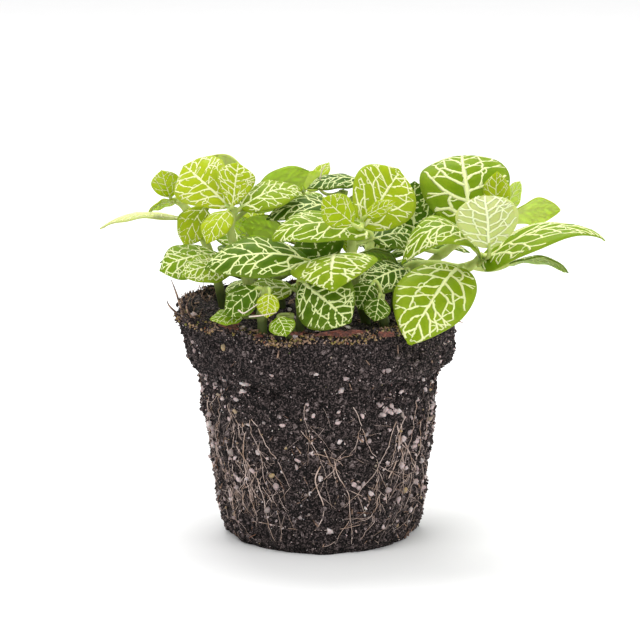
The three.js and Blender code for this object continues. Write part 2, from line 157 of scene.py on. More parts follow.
# Midrib, side veins and net of that blade; headings and turns are in radians
MIDRIB_END = 0.97
MIDRIB_STEPS = 18
MIDRIB_RADII = (0.027, 0.009)
SIDE_VEIN_STARTS = (0.03, 0.9)
SIDE_VEIN_HEADINGS = (1.1, 0.7)
SIDE_VEIN_RADII = (0.0175, 0.013)
SIDE_VEIN_STEP = 0.026
SIDE_VEIN_BEND = 0.035
SIDE_VEIN_TAPER = 0.0005
SIDE_VEIN_THINNEST = 0.0078
SIDE_VEIN_PLACES = 24
SIDE_VEIN_ENDS = (0.82, 0.9)
FORK_FROM = (0.3, 0.55)
FORK_TURNS = (0.62, 0.24)
NET_SPACING = 0.046
NET_STEP = 0.022
NET_RADIUS = 0.0056
NET_ROUNDS = 14
NET_TRIES = 6
# How far a bare place pulls the net, in spacings, and the net's drift to the tip and its wander
NET_REACH = 3
NET_DRIFT = 0.15
NET_WANDER = 0.35

# How far each tone lies from deep green, at 0, to lime, at 1
TONES = {"mature": 0.1, "bright": 0.6, "young": 0.92, "pale": 1.45}
TONE_SPAN = 0.7
# Height at which the stems are darkest, older and in painted shade, and how much higher they are green
STEM_SHADE_FROM = 85
STEM_SHADE_SPAN = 14
# How far red, green and blue light goes under a leaf's skin, against each other
LEAF_GLOW = (0.7, 1, 0.15)
BLACK = (0, 0, 0)
WHITE = (1, 1, 1)


def mix(low, high, share):
    return low + (high - low) * share


def outline(u, peak=0.9):
    """Half width of a blade at a share of its length, from 0 to 1."""
    bulge = np.maximum(0, np.sin(np.pi * u**peak))
    return np.maximum(TIP_SHARE, bulge ** mix(*BLADE_POINT, u))


class Leaf:
    """A leaf's place on its stem and its arched, folded blade, in millimetres."""

    def __init__(
        self, on, base, tip, width, face, arch, fold, tone,
        twist=0.0, hook=0.72, peak=0.9, ribbed=True,
    ):
        self.on = on
        self.width = width
        self.fold = fold
        self.tone = TONES[tone]
        self.twist = math.radians(twist)
        self.peak = peak
        self.ribbed = ribbed
        start = np.array(base, float)
        chord = np.array(tip, float) - start
        self.length = np.linalg.norm(chord)
        along = chord / self.length
        up = np.array(face, float)
        up -= np.dot(up, along) * along
        up /= np.linalg.norm(up)
        lift = up * ARCH_LIFT * arch * self.length
        rising = start + ARCH_FROM * chord + lift
        self.rib = (start, rising, start + hook * chord + lift, start + chord)
        self.side = np.cross(along, up)
        self.phase = start[0] * 0.37 + start[2] * 0.21

    def midrib(self, u):
        """Points and directions of the midrib, which is a cubic Bezier curve."""
        a, b, c, d = self.rib
        u = np.atleast_1d(u)[:, None]
        w = 1 - u
        points = w**3 * a + 3 * u * w**2 * b + 3 * u**2 * w * c + u**3 * d
        ways = w**2 * (b - a) + 2 * u * w * (c - b) + u**2 * (d - c)
        return points, ways / np.linalg.norm(ways, axis=1)[:, None]

    def surface(self, u, v, lift):
        """Points at a share u along the blade and v across it, lifted off its upper side."""
        points, ways = self.midrib(u)
        turn = (self.twist * u)[:, None]
        side = self.side * np.cos(turn) + np.cross(self.side, ways) * np.sin(turn)
        up = np.cross(side, ways)
        half = self.width / 2 * outline(u, self.peak)
        rise = half * (self.fold * np.sqrt(v * v + 0.01) - EDGE_CURL * v * v)
        rise += RUFFLE * (v * v) * np.sin(TAU * (RUFFLES * u + self.phase) + 1.7 * np.sign(v))
        return points + side * (half * v)[:, None] + up * (rise + lift)[:, None]


# Each shoot of the front: its stem above the soil, then its leaves. Each leaf has its place
# along the stem, base, tip, width, the way its upper side faces, arch, fold and tone. Some also
# have a twist in degrees, a hook that bends the midrib later, a peak that brings the widest part
# nearer the tip, or no raised veins underneath.
SHOOTS = {
    "left_crown": (
        [(-19.5, -14, 87), (-27, -15, 101.5), (-30.5, -14, 112), (-30, -13, 121)],
        [
            Leaf(0.95, (-31, -14, 121), (-47.5, 2, 133), 21, (-0.35, -0.7, 0.65), 0.16, 0.12,
                 "young", peak=1.3),
            Leaf(1, (-30, -16, 121.5), (-28, -9, 136), 14, (0.15, -1, 0.3), 0.1, 0.12,
                 "young", peak=1.45),
            Leaf(0.97, (-26.5, -4.5, 121), (-38.5, 6, 136), 16, (0.15, 1, 0.35), 0.1, 0.1, "pale",
                 peak=1.1, ribbed=False),
            Leaf(0.97, (-31.5, -16, 120), (-38.5, -25, 110), 11.5, (-0.35, -0.75, 0.6), 0.15, 0.1,
                 "young"),
            Leaf(0.9, (-27, -13, 120.5), (-5.5, -6, 126), 16, (-0.15, -0.5, 0.85), 0.16, 0.1, "bright"),
            Leaf(0.85, (-24, -3, 119), (-3, 7, 130.5), 16, (-0.45, 0.85, 0.35), 0.08, 0.1, "bright",
                 ribbed=False),
            Leaf(0.42, (-33.5, -12, 103.5), (-55.5, -18, 99), 17, (-0.1, -0.6, 0.78), 0.16, 0.06,
                 "bright", peak=1.4),
            Leaf(0.3, (-30, -20, 101), (-47.5, -28, 99), 14.5, (-0.1, -0.6, 0.78), 0.14, 0.06,
                 "bright"),
        ],
    ),
    "far_left": (
        [(-34, 8, 86), (-39, 8, 101.5), (-45, 7, 114), (-50, 7, 120.5)],
        [
            Leaf(1, (-52.5, 6, 121), (-55.5, 5, 131), 10.5, (-0.1, -1, 0.1), 0.05, 0.15,
                 "young", peak=1.1),
            Leaf(0.97, (-50.5, 5, 119.5), (-60, 0, 117), 8, (0, 0.6, 0.8), 0.18, 0.1, "young"),
            Leaf(0.8, (-49, 8.5, 113), (-78, 10, 109), 14, (0, 0.05, 1), 0.16, 0.05, "pale"),
            Leaf(0.66, (-40, 2, 118), (-47.5, 0, 105), 15, (-0.55, -0.75, 0.25), 0.14, 0.12, "young"),
        ],
    ),
    "centre_crown": (
        [(17, -18, 90), (12.5, -20, 102.5), (12.5, -21, 110.5), (15.5, -22, 117.5)],
        [
            Leaf(0.97, (16, -22, 115), (29, -6, 133), 25, (0.35, -0.87, 0.4), 0.06, 0.28, "young",
                 peak=1.1),
            Leaf(0.98, (12.4, -38, 119.2), (2, -42, 129), 12, (-0.25, -0.9, 0.45), 0.1, 0.15,
                 "young", peak=1.1),
            Leaf(1, (17, -24, 119.5), (27.5, -24, 124.5), 6, (0.2, -0.8, 0.6), 0.1, 0.2, "young"),
            Leaf(0.75, (18.5, -26, 114), (-15.5, -36, 113), 17.5, (-0.1, -0.5, 0.86), 0.22, 0.05,
                 "bright", hook=0.86),
            Leaf(0.72, (19.5, -14, 109.5), (36.5, -6, 108), 14, (0.05, -0.55, 0.85), 0.18, 0.05,
                 "mature"),
            Leaf(0.55, (11.5, -8, 117.5), (-18, -8, 115.5), 16, (-0.05, -0.4, 0.92), 0.22, 0.05,
                 "mature"),
            Leaf(0.3, (1.5, -18, 101.5), (-2, -13, 112), 20, (0, -1, 0.2), 0.08, 0.08, "mature"),
            Leaf(0.35, (31.5, -15, 99), (14, -31, 94), 14, (0.25, -0.6, 0.75), 0.16, 0.08, "mature"),
            Leaf(0.45, (12.5, -12, 103), (29, -8.5, 99.5), 12, (0, 0.45, 0.9), 0.24, 0.05, "mature"),
        ],
    ),
    "front_centre": (
        [(-6, -34, 89.5), (-4.5, -33, 97), (-2.5, -31, 103)],
        [
            Leaf(0.98, (-3, -31, 105), (-39, -36, 103.2), 20, (-0.05, -0.58, 0.8), 0.18, 0.06,
                 "mature"),
            Leaf(0.55, (-5, -40, 99.5), (11.5, -48, 86.5), 22.5, (-0.1, -0.95, 0.3), 0.1, 0.1,
                 "mature"),
            Leaf(0.9, (7.5, -31, 106.5), (5.5, -53, 98.5), 31, (-0.22, -0.45, 0.87), 0.3, 0.05,
                 "bright"),
            Leaf(0.5, (-8.5, -31.5, 95), (-27, -31, 92.5), 13, (-0.05, -0.5, 0.87), 0.14, 0.05,
                 "bright"),
        ],
    ),
    "right_crown": (
        [(28, 2, 88), (31, -4, 96.5), (41.5, -9, 99.5), (52, -13, 99), (59, -14, 103.5)],
        [
            Leaf(1, (60, -31, 109.5), (58.5, -29, 127.5), 22, (0, 0.97, 0.2), -0.4, 0.1, "pale",
                 hook=0.8, peak=1.2),
            Leaf(0.97, (57.5, -15, 103.5), (29.5, -31, 104), 20, (-0.05, -0.42, 0.9), 0.53, 0.05,
                 "bright", hook=0.82, peak=0.75),
            Leaf(0.97, (57.5, -17, 101), (101, -19, 110), 22, (-0.05, -0.45, 0.9), 0.27, 0.06,
                 "bright", twist=34, hook=0.9, peak=0.72),
            Leaf(0.8, (50, -20, 100.5), (32, -46, 78.3), 28, (-0.25, -0.85, 0.45), 0.14, 0.3,
                 "bright", peak=0.92),
            Leaf(0.85, (68, -6, 99), (89.5, -4, 95.5), 13, (0.05, 0.35, 0.93), 0.24, 0.05, "mature"),
        ],
    ),
    "right_back": (
        [(31.5, 18, 85), (41.5, 15, 96), (51, 9, 105), (57.5, 5, 115)],
        [
            Leaf(0.9, (54, 2, 111.5), (51.5, 29, 130.5), 32.5, (0, -0.8, 0.6), 0.46, 0.05, "bright",
                 hook=0.74, peak=0.7),
            Leaf(1, (64, 0, 116), (64, 2, 131), 11, (-0.45, -0.85, 0.25), 0.05, 0.2, "young"),
            Leaf(1, (66.5, 4, 116), (72.5, 8, 126.5), 9, (-0.5, 0.8, 0.3), 0.05, 0.1, "young"),
            Leaf(0.95, (67.5, 4, 113), (87, 8, 116), 15, (-0.1, 0.75, 0.65), 0.18, 0.05,
                 "young", peak=1.3, ribbed=False),
            Leaf(0.6, (34.5, 12, 106), (35, 14, 125.5), 18, (0, -1, 0.2), 0.08, 0.05, "mature"),
        ],
    ),
    "front_left": (
        [(-19, -41, 86.5), (-19, -42, 92.5), (-17, -43, 97.5)],
        [
            Leaf(0.9, (-21, -43, 97.5), (-31.5, -46, 88.5), 12, (-0.35, -0.85, 0.45), 0.14, 0.05,
                 "mature"),
            Leaf(1, (-16.5, -47, 96.5), (-17.5, -49.5, 88.5), 8, (0, -1, 0.2), 0.1, 0.08, "young"),
            Leaf(0.5, (-26, -40, 87), (-37, -43, 86.5), 8, (0, -0.5, 0.85), 0.12, 0.05, "bright"),
        ],
    ),
    "front_low": (
        [(-9, -45, 85), (-9.5, -47, 89)],
        [Leaf(1, (-13.5, -48.5, 88.5), (-10.5, -53.5, 82.8), 9.5, (0.1, -0.9, 0.45), 0.14, 0.05,
              "bright")],
    ),
    "front_right": (
        [(23.5, -34, 87.5), (22, -35, 93.5)],
        [
            Leaf(1, (21.5, -39, 93.5), (20, -43, 86), 9.5, (0, -1, 0.3), 0.08, 0.05, "mature"),
            Leaf(0.6, (19, -35, 97.5), (14.5, -37.5, 89), 11.5, (0, -0.9, 0.3), 0.08, 0.05, "mature"),
        ],
    ),
    "mid_back": (
        [(4.5, 14, 85), (7, 13, 104.5), (9.5, 12, 122.5)],
        [
            Leaf(0.9, (16, 12, 126), (-3.5, 8, 124), 15, (0, -0.2, 1), 0.16, 0.05, "mature"),
            Leaf(1, (1, 18, 122), (-3.5, 20, 128), 9, (-0.2, 1, 0.2), 0.05, 0.1, "young",
                 ribbed=False),
            Leaf(0.62, (-11, 4, 107.5), (-27, 5, 112), 14, (-0.1, 0.8, 0.55), 0.1, 0.05, "bright",
                 ribbed=False),
        ],
    ),
}

# Shoots at the back and in the middle: stem, length of the longest leaf, and leaf headings in
# degrees. Their leaves stand in pairs, from the lowest pair to the one at the tip.
PAIRED_SHOOTS = {
    "back_left": ([(-22, 22, 82), (-24, 27, 92), (-25, 31, 101)], 30, (165, 101, 130, 45, 80, 260)),
    "back_centre": ([(-2, 33, 82), (-3, 37, 100), (-4, 40, 116)], 28, (124, 58, 92, 8, 50, 230)),
    "back_right": ([(15, 31, 82), (22, 34, 96), (29, 36, 108)], 30, (78, 5, 112, 38, 60, 240)),
    "rear_left": ([(-17, 37, 82), (-19.8, 43, 91.7)], 19, (178, 100, 22)),
    "rear_right": ([(9, 38, 82), (12, 44, 92)], 19, (136, 62, 98)),
    "inner_left": ([(-13, 9, 82), (-14, 12, 88), (-15, 15, 94)], 20, (222, 318, 175, 340, 95, 275)),
    "inner_right": ([(17, 7, 82), (18, 10, 96), (20, 14, 106)], 22, (345, 205, 110, 30, 70, 250)),
}
PAIR_START = 0.62
PAIR_RISE = (2, 40)
PAIR_SHRINK = 0.5
PAIR_STALK = (5, 2.5)
PAIR_WIDTH = 0.62
PAIR_ARCH = (0.22, 0.12)
PAIR_FOLD = 0.06


def stem_points(stem):
    """The stem with its foot, which stands straight in the soil."""
    x, y = stem[0][:2]
    return [(x, y, SOIL_HEIGHT - STEM_DEPTH), (x, y, SOIL_HEIGHT + 2), *stem[1:]]


def on_spline(points, share):
    """A place on the uniform Catmull-Rom curve through the points."""
    p = np.array(points, float)
    last = len(p) - 1
    x = last * share
    i = min(int(x), last - 1)
    w = x - i
    before = p[i - 1] if i > 0 else 2 * p[0] - p[1]
    after = p[i + 2] if i + 2 <= last else 2 * p[last] - p[last - 1]
    low, high = (p[i + 1] - before) / 2, (after - p[i]) / 2
    gap = p[i] - p[i + 1]
    return (2 * gap + low + high) * w**3 - (3 * gap + 2 * low + high) * w**2 + low * w + p[i]


def paired_leaves(stem, longest, headings):
    """Pairs of leaves that turn, shorten and rise towards the stem's tip."""
    leaves = []
    for i, heading in enumerate(headings):
        up = (i // 2) / ((len(headings) - 1) // 2)
        turn = math.radians(heading)
        rise = math.radians(mix(*PAIR_RISE, up**1.5))
        reach = longest * (1 - PAIR_SHRINK * up)
        on = mix(PAIR_START, 1, up)
        out = np.array([
            math.cos(turn) * math.cos(rise),
            math.sin(turn) * math.cos(rise),
            math.sin(rise),
        ])
        base = on_spline(stem_points(stem), on) + out * mix(*PAIR_STALK, up)
        tone = ("mature", "bright", "young")[min(2, int(3 * up))]
        leaves.append(Leaf(on, base, base + out * reach, PAIR_WIDTH * reach, (0, 0, 1),
                           mix(*PAIR_ARCH, up), PAIR_FOLD, tone))
    return leaves


SHOOTS.update({
    name: (stem, paired_leaves(stem, longest, headings))
    for name, (stem, longest, headings) in PAIRED_SHOOTS.items()
})


# Surface of the root ball

def side_at(height):
    """Radius and sideways shift of the ball's side at a height."""
    above = next((i for i, row in enumerate(SIDE) if row[0] >= height), len(SIDE) - 1)
    above = max(above, 1)
    low, high = SIDE[above - 1], SIDE[above]
    share = min(max((height - low[0]) / (high[0] - low[0]), 0), 1)
    return mix(low[1], high[1], share), mix(low[2], high[2], share)


def waves(rows, angle, height=0):
    """Height of several waves round the ball together."""
    return sum(
        size * math.sin(repeats * angle + climb * height + start)
        for size, repeats, climb, start in rows
    )


def hump(angle, direction, sharpness):
    """A single hump round the ball, from 0 to 1."""
    return max(0, math.cos(angle - direction)) ** sharpness


def side_lumps(angle, height):
    """How far the side stands out, with its foot worn away at two places in front."""
    low = max(0, 1 - height / WORN_HEIGHT)
    worn = sum(hump(angle, *place) for place in WORN_PLACES)
    return waves(SIDE_WAVES, angle, height) - WORN_DEPTH * low * worn


def rim_rise(angle):
    """Height of the ragged rim over the soil, highest at the left and at the back."""
    rise = waves(RIM_WAVES, angle)
    for size, *place in RIM_RISES:
        rise += size * hump(angle, *place)
    return rise


def rim_share(outer):
    """How far a place on the top belongs to the rim, from its share of the ball's radius."""
    return min(max((outer - RIM_FROM) / RIM_SPAN, 0), 1)


def soil_lumps(x, y):
    """Height of the gentle lumps in the middle of the top."""
    broad = 0.6 * math.sin(0.23 * x + 1) * math.cos(0.31 * y)
    return broad + 0.35 * math.sin(0.47 * x - 0.3 * y)


def side_point(angle, height, proud=0.0):
    """A place on the ball's side, or a distance proud of it."""
    radius, shift = side_at(height)
    reach = radius + side_lumps(angle, height) + proud
    return Vector((shift + reach * math.cos(angle), reach * math.sin(angle), height))


def top_point(angle, reach):
    """A place on the soil or the ragged rim at a distance from the middle."""
    rows = TOP[::-1] + [SIDE[-1][:2]]
    above = max(next((i for i, row in enumerate(rows) if row[1] >= reach), len(rows) - 1), 1)
    low, high = rows[above - 1], rows[above]
    height = mix(low[0], high[0], (reach - low[1]) / (high[1] - low[1]))
    x, y = reach * math.cos(angle), reach * math.sin(angle)
    height += mix(soil_lumps(x, y), rim_rise(angle), rim_share(reach / TOP_EDGE))
    return Vector((x - TOP_SHIFT, y, height))


def soil_grit(place):
    """Height of the small lumps and pits of the soil at a place."""
    return sum(size * noise.noise(place * repeats) for size, repeats in GRIT)


# Meshes

def add_piece(name, bm, finishes, nodes=(), smooth=True):
    """Makes a finished piece from a bmesh in millimetres."""
    bmesh.ops.scale(bm, vec=(MM, MM, MM), verts=bm.verts)
    mesh = bpy.data.meshes.new(name)
    bm.to_mesh(mesh)
    bm.free()
    for finish in finishes:
        mesh.materials.append(finish)
    if smooth:
        mesh.shade_smooth()
    piece = bpy.data.objects.new(name, mesh)
    bpy.context.scene.collection.objects.link(piece)
    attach(piece, "root")
    if nodes:
        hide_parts(*nodes)
    return piece


def tubes(routes, resolution, section=None):
    """A bmesh of tubes, one along each route of places and radii in millimetres."""
    data = bpy.data.curves.new("route", "CURVE")
    data.dimensions = "3D"
    data.use_fill_caps = True
    if section:
        data.twist_mode = "Z_UP"
        data.bevel_mode = "OBJECT"
        data.bevel_object = section
    else:
        data.bevel_depth = 1
        data.bevel_resolution = resolution
    for route in routes:
        spline = data.splines.new("POLY")
        spline.points.add(len(route) - 1)
        for point, (place, radius) in zip(spline.points, route):
            point.co = (*place, 1)
            point.radius = radius
    curve = bpy.data.objects.new("route", data)
    bpy.context.scene.collection.objects.link(curve)
    depsgraph = bpy.context.evaluated_depsgraph_get()
    mesh = bpy.data.meshes.new_from_object(curve.evaluated_get(depsgraph))
    bm = bmesh.new()
    bm.from_mesh(mesh)
    bmesh.ops.remove_doubles(bm, verts=bm.verts, dist=1e-5)
    bmesh.ops.recalc_face_normals(bm, faces=bm.faces)
    bpy.data.objects.remove(curve)
    bpy.data.curves.remove(data)
    bpy.data.meshes.remove(mesh)
    return bm


def ridge_section():
    """A low three-sided section for the veins, with its flat side down."""
    data = bpy.data.curves.new("ridge", "CURVE")
    spline = data.splines.new("POLY")
    spline.points.add(2)
    spline.use_cyclic_u = True
    for point, (x, y) in zip(spline.points, ((-1, -0.35), (1, -0.35), (0, 0.65))):
        point.co = (x, y, 0, 1)
    return bpy.data.objects.new("ridge", data)


def smooth_route(points, steps, radii):
    """Places along the spline through the points, with radii spread evenly along it."""
    route = []
    for step in range(steps + 1):
        share = step / steps
        radius = float(np.interp(share, np.linspace(0, 1, len(radii)), radii))
        route.append((Vector(on_spline(points, share)), radius))
    return route


# Vein patterns

class VeinPattern:
    """The net of veins of one blade, grown on a plain blade of length 1."""

    def __init__(self, seed, section, pairs=(6, 7), girth=1.0):
        self.draw = random.Random(seed)
        self.pairs = self.draw.choice(pairs)
        self.girth = girth
        self.routes = []
        self.buds = []
        self.add_main_veins()
        main_routes = list(self.routes)
        self.main = self.tree_of([place for route in self.routes for place, _ in route])
        self.grow_net()
        self.nets = [self.net_of(routes, section) for routes in (self.routes, main_routes)]

    @staticmethod
    def tree_of(places):
        tree = KDTree(len(places))
        for i, place in enumerate(places):
            tree.insert(place, i)
        tree.balance()
        return tree

    @staticmethod
    def half(x):
        """Half the plain blade's width at a share of its length."""
        return float(TYPICAL_HALF * outline(np.array(x)))

    def puff_at(self, u, v):
        """How far the blade swells between its main veins, from 0 to 1."""
        gap = self.main.find(Vector((u, v * self.half(u), 0)))[2]
        return (1 - math.exp(-((gap / PUFF_REACH) ** 2))) * (1 - v**4)

    def net_of(self, routes, section):
        """Corners of the veins along u, across v and upwards, their swelling, and their faces."""
        routes = [[(place, self.girth * radius) for place, radius in route] for route in routes]
        bm = tubes(routes, 0, section)
        bmesh.ops.triangulate(bm, faces=bm.faces)
        bm.verts.ensure_lookup_table()
        corners = np.array([tuple(vert.co) for vert in bm.verts])
        faces = {tuple(sorted(loop)): loop for loop in self.loops_of(bm)}.values()
        bm.free()
        u = np.clip(corners[:, 0], 0, 1)
        v = np.clip(corners[:, 1] / (TYPICAL_HALF * outline(u)), -VEIN_MARGIN, VEIN_MARGIN)
        puff = np.array([self.puff_at(*place) for place in zip(u, v)])
        return u, v, corners[:, 2], puff, faces

    @staticmethod
    def loops_of(bm):
        return [[vert.index for vert in face.verts] for face in bm.faces]

    def add_main_veins(self):
        draw = self.draw
        midrib = []
        for i in range(MIDRIB_STEPS + 1):
            place = Vector((MIDRIB_END * i / MIDRIB_STEPS, 0.005 * math.sin(i / 2), 0))
            midrib.append((place, mix(*MIDRIB_RADII, i / MIDRIB_STEPS)))
        self.routes.append(midrib)
        for pair in range(self.pairs):
            for side in (-1, 1):
                along = (pair + 0.2 + 0.2 * side + draw.uniform(-0.12, 0.12)) / self.pairs
                start = mix(*SIDE_VEIN_STARTS, along)
                heading = mix(*SIDE_VEIN_HEADINGS, start) + draw.uniform(-0.08, 0.08)
                radius = mix(*SIDE_VEIN_RADII, start)
                self.buds.append((Vector((start, 0, 0)), heading, side, radius, 2))
        for bud in self.buds:
            self.grow_branch(*bud)

    def grow_branch(self, place, heading, side, radius, forks):
        """A side vein wanders towards the margin, bends to the tip, forks, and may join another."""
        draw = self.draw
        others = self.tree_of([spot for route in self.routes for spot, _ in route])
        route = [(place, radius)]
        lean = 0.0
        reach = abs(place.y) / self.half(place.x)
        fork_at = mix(reach, 0.9, draw.uniform(*FORK_FROM))
        limit = draw.uniform(*SIDE_VEIN_ENDS)
        turned = draw.choice((-1, 1))
        while reach < limit and place.x < 0.95 and len(route) < SIDE_VEIN_PLACES:
            lean = mix(lean, draw.gauss(0, 0.32), 0.5)
            way = heading + lean
            place = place + SIDE_VEIN_STEP * Vector((math.cos(way), side * math.sin(way), 0))
            near, _, gap = others.find(place)
            if len(route) > 3 and gap < SIDE_VEIN_STEP:
                route.append((near, radius))
                break
            heading -= SIDE_VEIN_BEND
            radius = max(SIDE_VEIN_THINNEST, radius - SIDE_VEIN_TAPER)
            route.append((place, radius))
            reach = abs(place.y) / self.half(min(place.x, 0.96))
            if forks and reach > fork_at:
                away = heading + FORK_TURNS[0] * turned
                self.buds.append((place, away, side, 0.85 * radius, forks - 1))
                heading -= FORK_TURNS[1] * turned
                fork_at = mix(reach, 0.95, 0.5)
                turned = -turned
                forks -= 1
        if len(route) > 1:
            self.routes.append(route)

    def attractors(self, taken):
        """Evenly scattered places that the finer veins grow towards."""
        near = self.tree_of(taken)
        cells = {}
        places = []
        for _ in range(int(NET_TRIES / NET_SPACING**2)):
            x = self.draw.uniform(0.02, 0.96)
            place = Vector((x, self.draw.uniform(-0.92, 0.92) * self.half(x), 0))
            cell = (int(place.x / NET_SPACING), int(place.y / NET_SPACING + 50))
            around = [(cell[0] + i, cell[1] + j) for i in (-1, 0, 1) for j in (-1, 0, 1)]
            if any((place - cells[spot]).length < NET_SPACING for spot in around if spot in cells):
                continue
            if near.find(place)[2] > 0.6 * NET_SPACING:
                cells[cell] = place
                places.append(place)
        return places

    def grow_net(self):
        """Grows finer veins from those that are there towards the bare parts of the blade."""
        nodes = [place for route in self.routes for place, _ in route]
        parents = [None] * len(nodes)
        old = len(nodes)
        waiting = self.attractors(nodes)
        for _ in range(NET_ROUNDS):
            tree = self.tree_of(nodes)
            pulls = {}
            for place in waiting:
                _, nearest, gap = tree.find(place)
                if gap < NET_REACH * NET_SPACING:
                    pull = (place - nodes[nearest]).normalized()
                    pulls[nearest] = pulls.get(nearest, Vector()) + pull
            if not pulls:
                break
            for nearest, pull in pulls.items():
                way = pull.normalized() + Vector((NET_DRIFT, 0, 0))
                wander = Vector((self.draw.uniform(-1, 1), self.draw.uniform(-1, 1), 0))
                way += NET_WANDER * wander
                nodes.append(nodes[nearest] + way.normalized() * NET_STEP)
                parents.append(nearest)
            tree = self.tree_of(nodes)
            waiting = [place for place in waiting if tree.find(place)[2] > 0.85 * NET_STEP]
        self.add_net(nodes, parents, old)

    def add_net(self, nodes, parents, old):
        """Turns the grown nodes into routes, thicker where they carry more."""
        load = [0] * len(nodes)
        children = {}
        for i in range(len(nodes) - 1, old - 1, -1):
            load[i] += 1
            load[parents[i]] += load[i]
            children.setdefault(parents[i], []).append(i)
        tree = self.tree_of(nodes)
        for first in range(old, len(nodes)):
            parent = parents[first]
            if parent >= old and first == max(children[parent], key=lambda i: load[i]):
                continue
            chain = [parent, first]
            while chain[-1] in children:
                chain.append(max(children[chain[-1]], key=lambda i: load[i]))
            thick = [NET_RADIUS * min(1.7, load[i] ** 0.25) for i in chain[1:]]
            route = list(zip([nodes[i] for i in chain], [thick[0], *thick]))
            joined = self.join_end(route, chain, nodes, parents, tree)
            if joined or len(route) > 3:
                self.routes.append(route)

    def join_end(self, route, chain, nodes, parents, tree):
        """Leads a vein's end on to a neighbour, as the leaf's net closes its cells."""
        end, radius = route[-1]
        way = (end - route[-2][0]).normalized()
        for place, index, gap in tree.find_range(end, 1.1 * NET_SPACING):
            ahead = (place - end).dot(way) > 0.5 * gap
            fresh = index not in chain and parents[index] not in chain
            if ahead and fresh and gap > 0.3 * NET_SPACING and self.draw.random() < 0.8:
                route.append((nodes[index], radius))
                return True
        return False


# Materials

class Signal:
    """A number that varies over a surface: arithmetic on it adds Math nodes."""

    def __init__(self, finish, socket):
        self.finish = finish
        self.socket = socket

    def through(self, operation, first, second):
        return self.finish.node("ShaderNodeMath", {"operation": operation}, {0: first, 1: second})

    def __add__(self, other):
        return self.through("ADD", self, other)

    def __mul__(self, other):
        return self.through("MULTIPLY", self, other)

    def __sub__(self, other):
        return self.through("SUBTRACT", self, other)

    def __rsub__(self, other):
        return self.through("SUBTRACT", other, self)

    def __pow__(self, other):
        return self.through("POWER", self, other)

    def __rpow__(self, other):
        return self.through("POWER", other, self)

    __radd__ = __add__
    __rmul__ = __mul__


class Finish:
    """A material with a Principled shader, and the nodes that drive it."""

    def __init__(self, name, specular=0.5, **shader):
        self.material = bpy.data.materials.new(name)
        self.material.use_nodes = True
        self.tree = self.material.node_tree
        self.shader = self.tree.nodes["Principled BSDF"]
        self.shader.inputs["Specular IOR Level"].default_value = specular
        for socket, value in shader.items():
            self.shader.inputs[socket.replace("_", " ").title()].default_value = value

    def node(self, kind, settings=None, inputs=None, output=0):
        """Adds a node: its settings first, then the values or links of its sockets."""
        node = self.tree.nodes.new(kind)
        for name, value in (settings or {}).items():
            if name == "stops":
                self.set_stops(node.color_ramp, value)
            else:
                setattr(node, name, value)
        for name, value in (inputs or {}).items():
            self.feed(node.inputs[name], value)
        return Signal(self, node.outputs[output])

    def feed(self, socket, value):
        if isinstance(value, Signal):
            self.tree.links.new(value.socket, socket)
        else:
            socket.default_value = value

    @staticmethod
    def set_stops(ramp, stops):
        while len(ramp.elements) < len(stops):
            ramp.elements.new(1)
        for element, (place, colour) in zip(ramp.elements, stops):
            element.position = place
            element.color = (*colour[:3], 1)

    def drive(self, socket, value):
        self.feed(self.shader.inputs[socket], value)

    def paint(self, factor, *stops):
        """Drives the base colour with a ramp of places and colours."""
        self.drive("Base Color", self.ramp(factor, *stops))

    def place(self):
        return self.node("ShaderNodeTexCoord", output="Object")

    def noise(self, scale, detail=3, rough=0.55, stretch=None):
        """Noise from 0 to 1, with its scale in repeats a metre."""
        where = self.place()
        if stretch:
            where = self.node("ShaderNodeMapping", inputs={"Vector": where, "Scale": stretch})
        return self.node(
            "ShaderNodeTexNoise",
            inputs={"Vector": where, "Scale": scale, "Detail": detail, "Roughness": rough},
        )

    def cells(self, scale):
        return self.node("ShaderNodeTexVoronoi", inputs={"Vector": self.place(), "Scale": scale})

    def tint(self, channel):
        """One channel of the piece's tint: tone, chance or distance from the main veins."""
        colour = self.node("ShaderNodeAttribute", {"attribute_name": "tint"}, output="Color")
        return self.node("ShaderNodeSeparateColor", inputs={"Color": colour}, output=channel)

    def ramp(self, factor, *stops):
        return self.node("ShaderNodeValToRGB", {"stops": stops}, {"Fac": factor})

    def blend(self, factor, low, high, kind="MIX"):
        settings = {"data_type": "RGBA", "blend_type": kind}
        inputs = {0: factor, 6: self.opaque(low), 7: self.opaque(high)}
        return self.node("ShaderNodeMix", settings, inputs, output=2)

    @staticmethod
    def opaque(colour):
        return colour if isinstance(colour, Signal) else (*colour[:3], 1)

    def bump(self, height, depth, strength=1.0):
        """Relief of a depth in millimetres."""
        normal = self.node("ShaderNodeBump", inputs={
            "Height": height,
            "Distance": depth * MM,
            "Strength": strength,
        })
        self.drive("Normal", normal)


def leaf_finish(own):
    """Green from the leaf's tone, paler beside its veins, with a fine mottle."""
    finish = Finish(
        "leaf_upper",
        specular=0.06,
        subsurface_weight=0.3,
        subsurface_scale=0.002,
        subsurface_radius=LEAF_GLOW,
    )
    patches = finish.noise(160)
    tone = finish.tint("Red") + (patches - 0.5) * 0.35 + (finish.tint("Green") - 0.5) * 0.16
    green = finish.ramp(
        tone * TONE_SPAN,
        (0, own.mature),
        (0.5 * TONE_SPAN, own.bright),
        (TONE_SPAN, own.young),
        (1, own.pale),
    )
    halo = (1 - finish.tint("Blue")) ** 2.5
    green = finish.blend(halo * 0.24, green, own.halo)
    mottle = finish.noise(2600, detail=1)
    green = finish.blend(mottle * 0.3, green, own.leaf_mottle, "SOFT_LIGHT")
    finish.drive("Base Color", green)
    finish.drive("Roughness", 0.38 + finish.noise(900) * 0.16)
    finish.bump(finish.cells(1900) + finish.noise(700) * 1.5, 0.05, 0.5)
    return finish.material


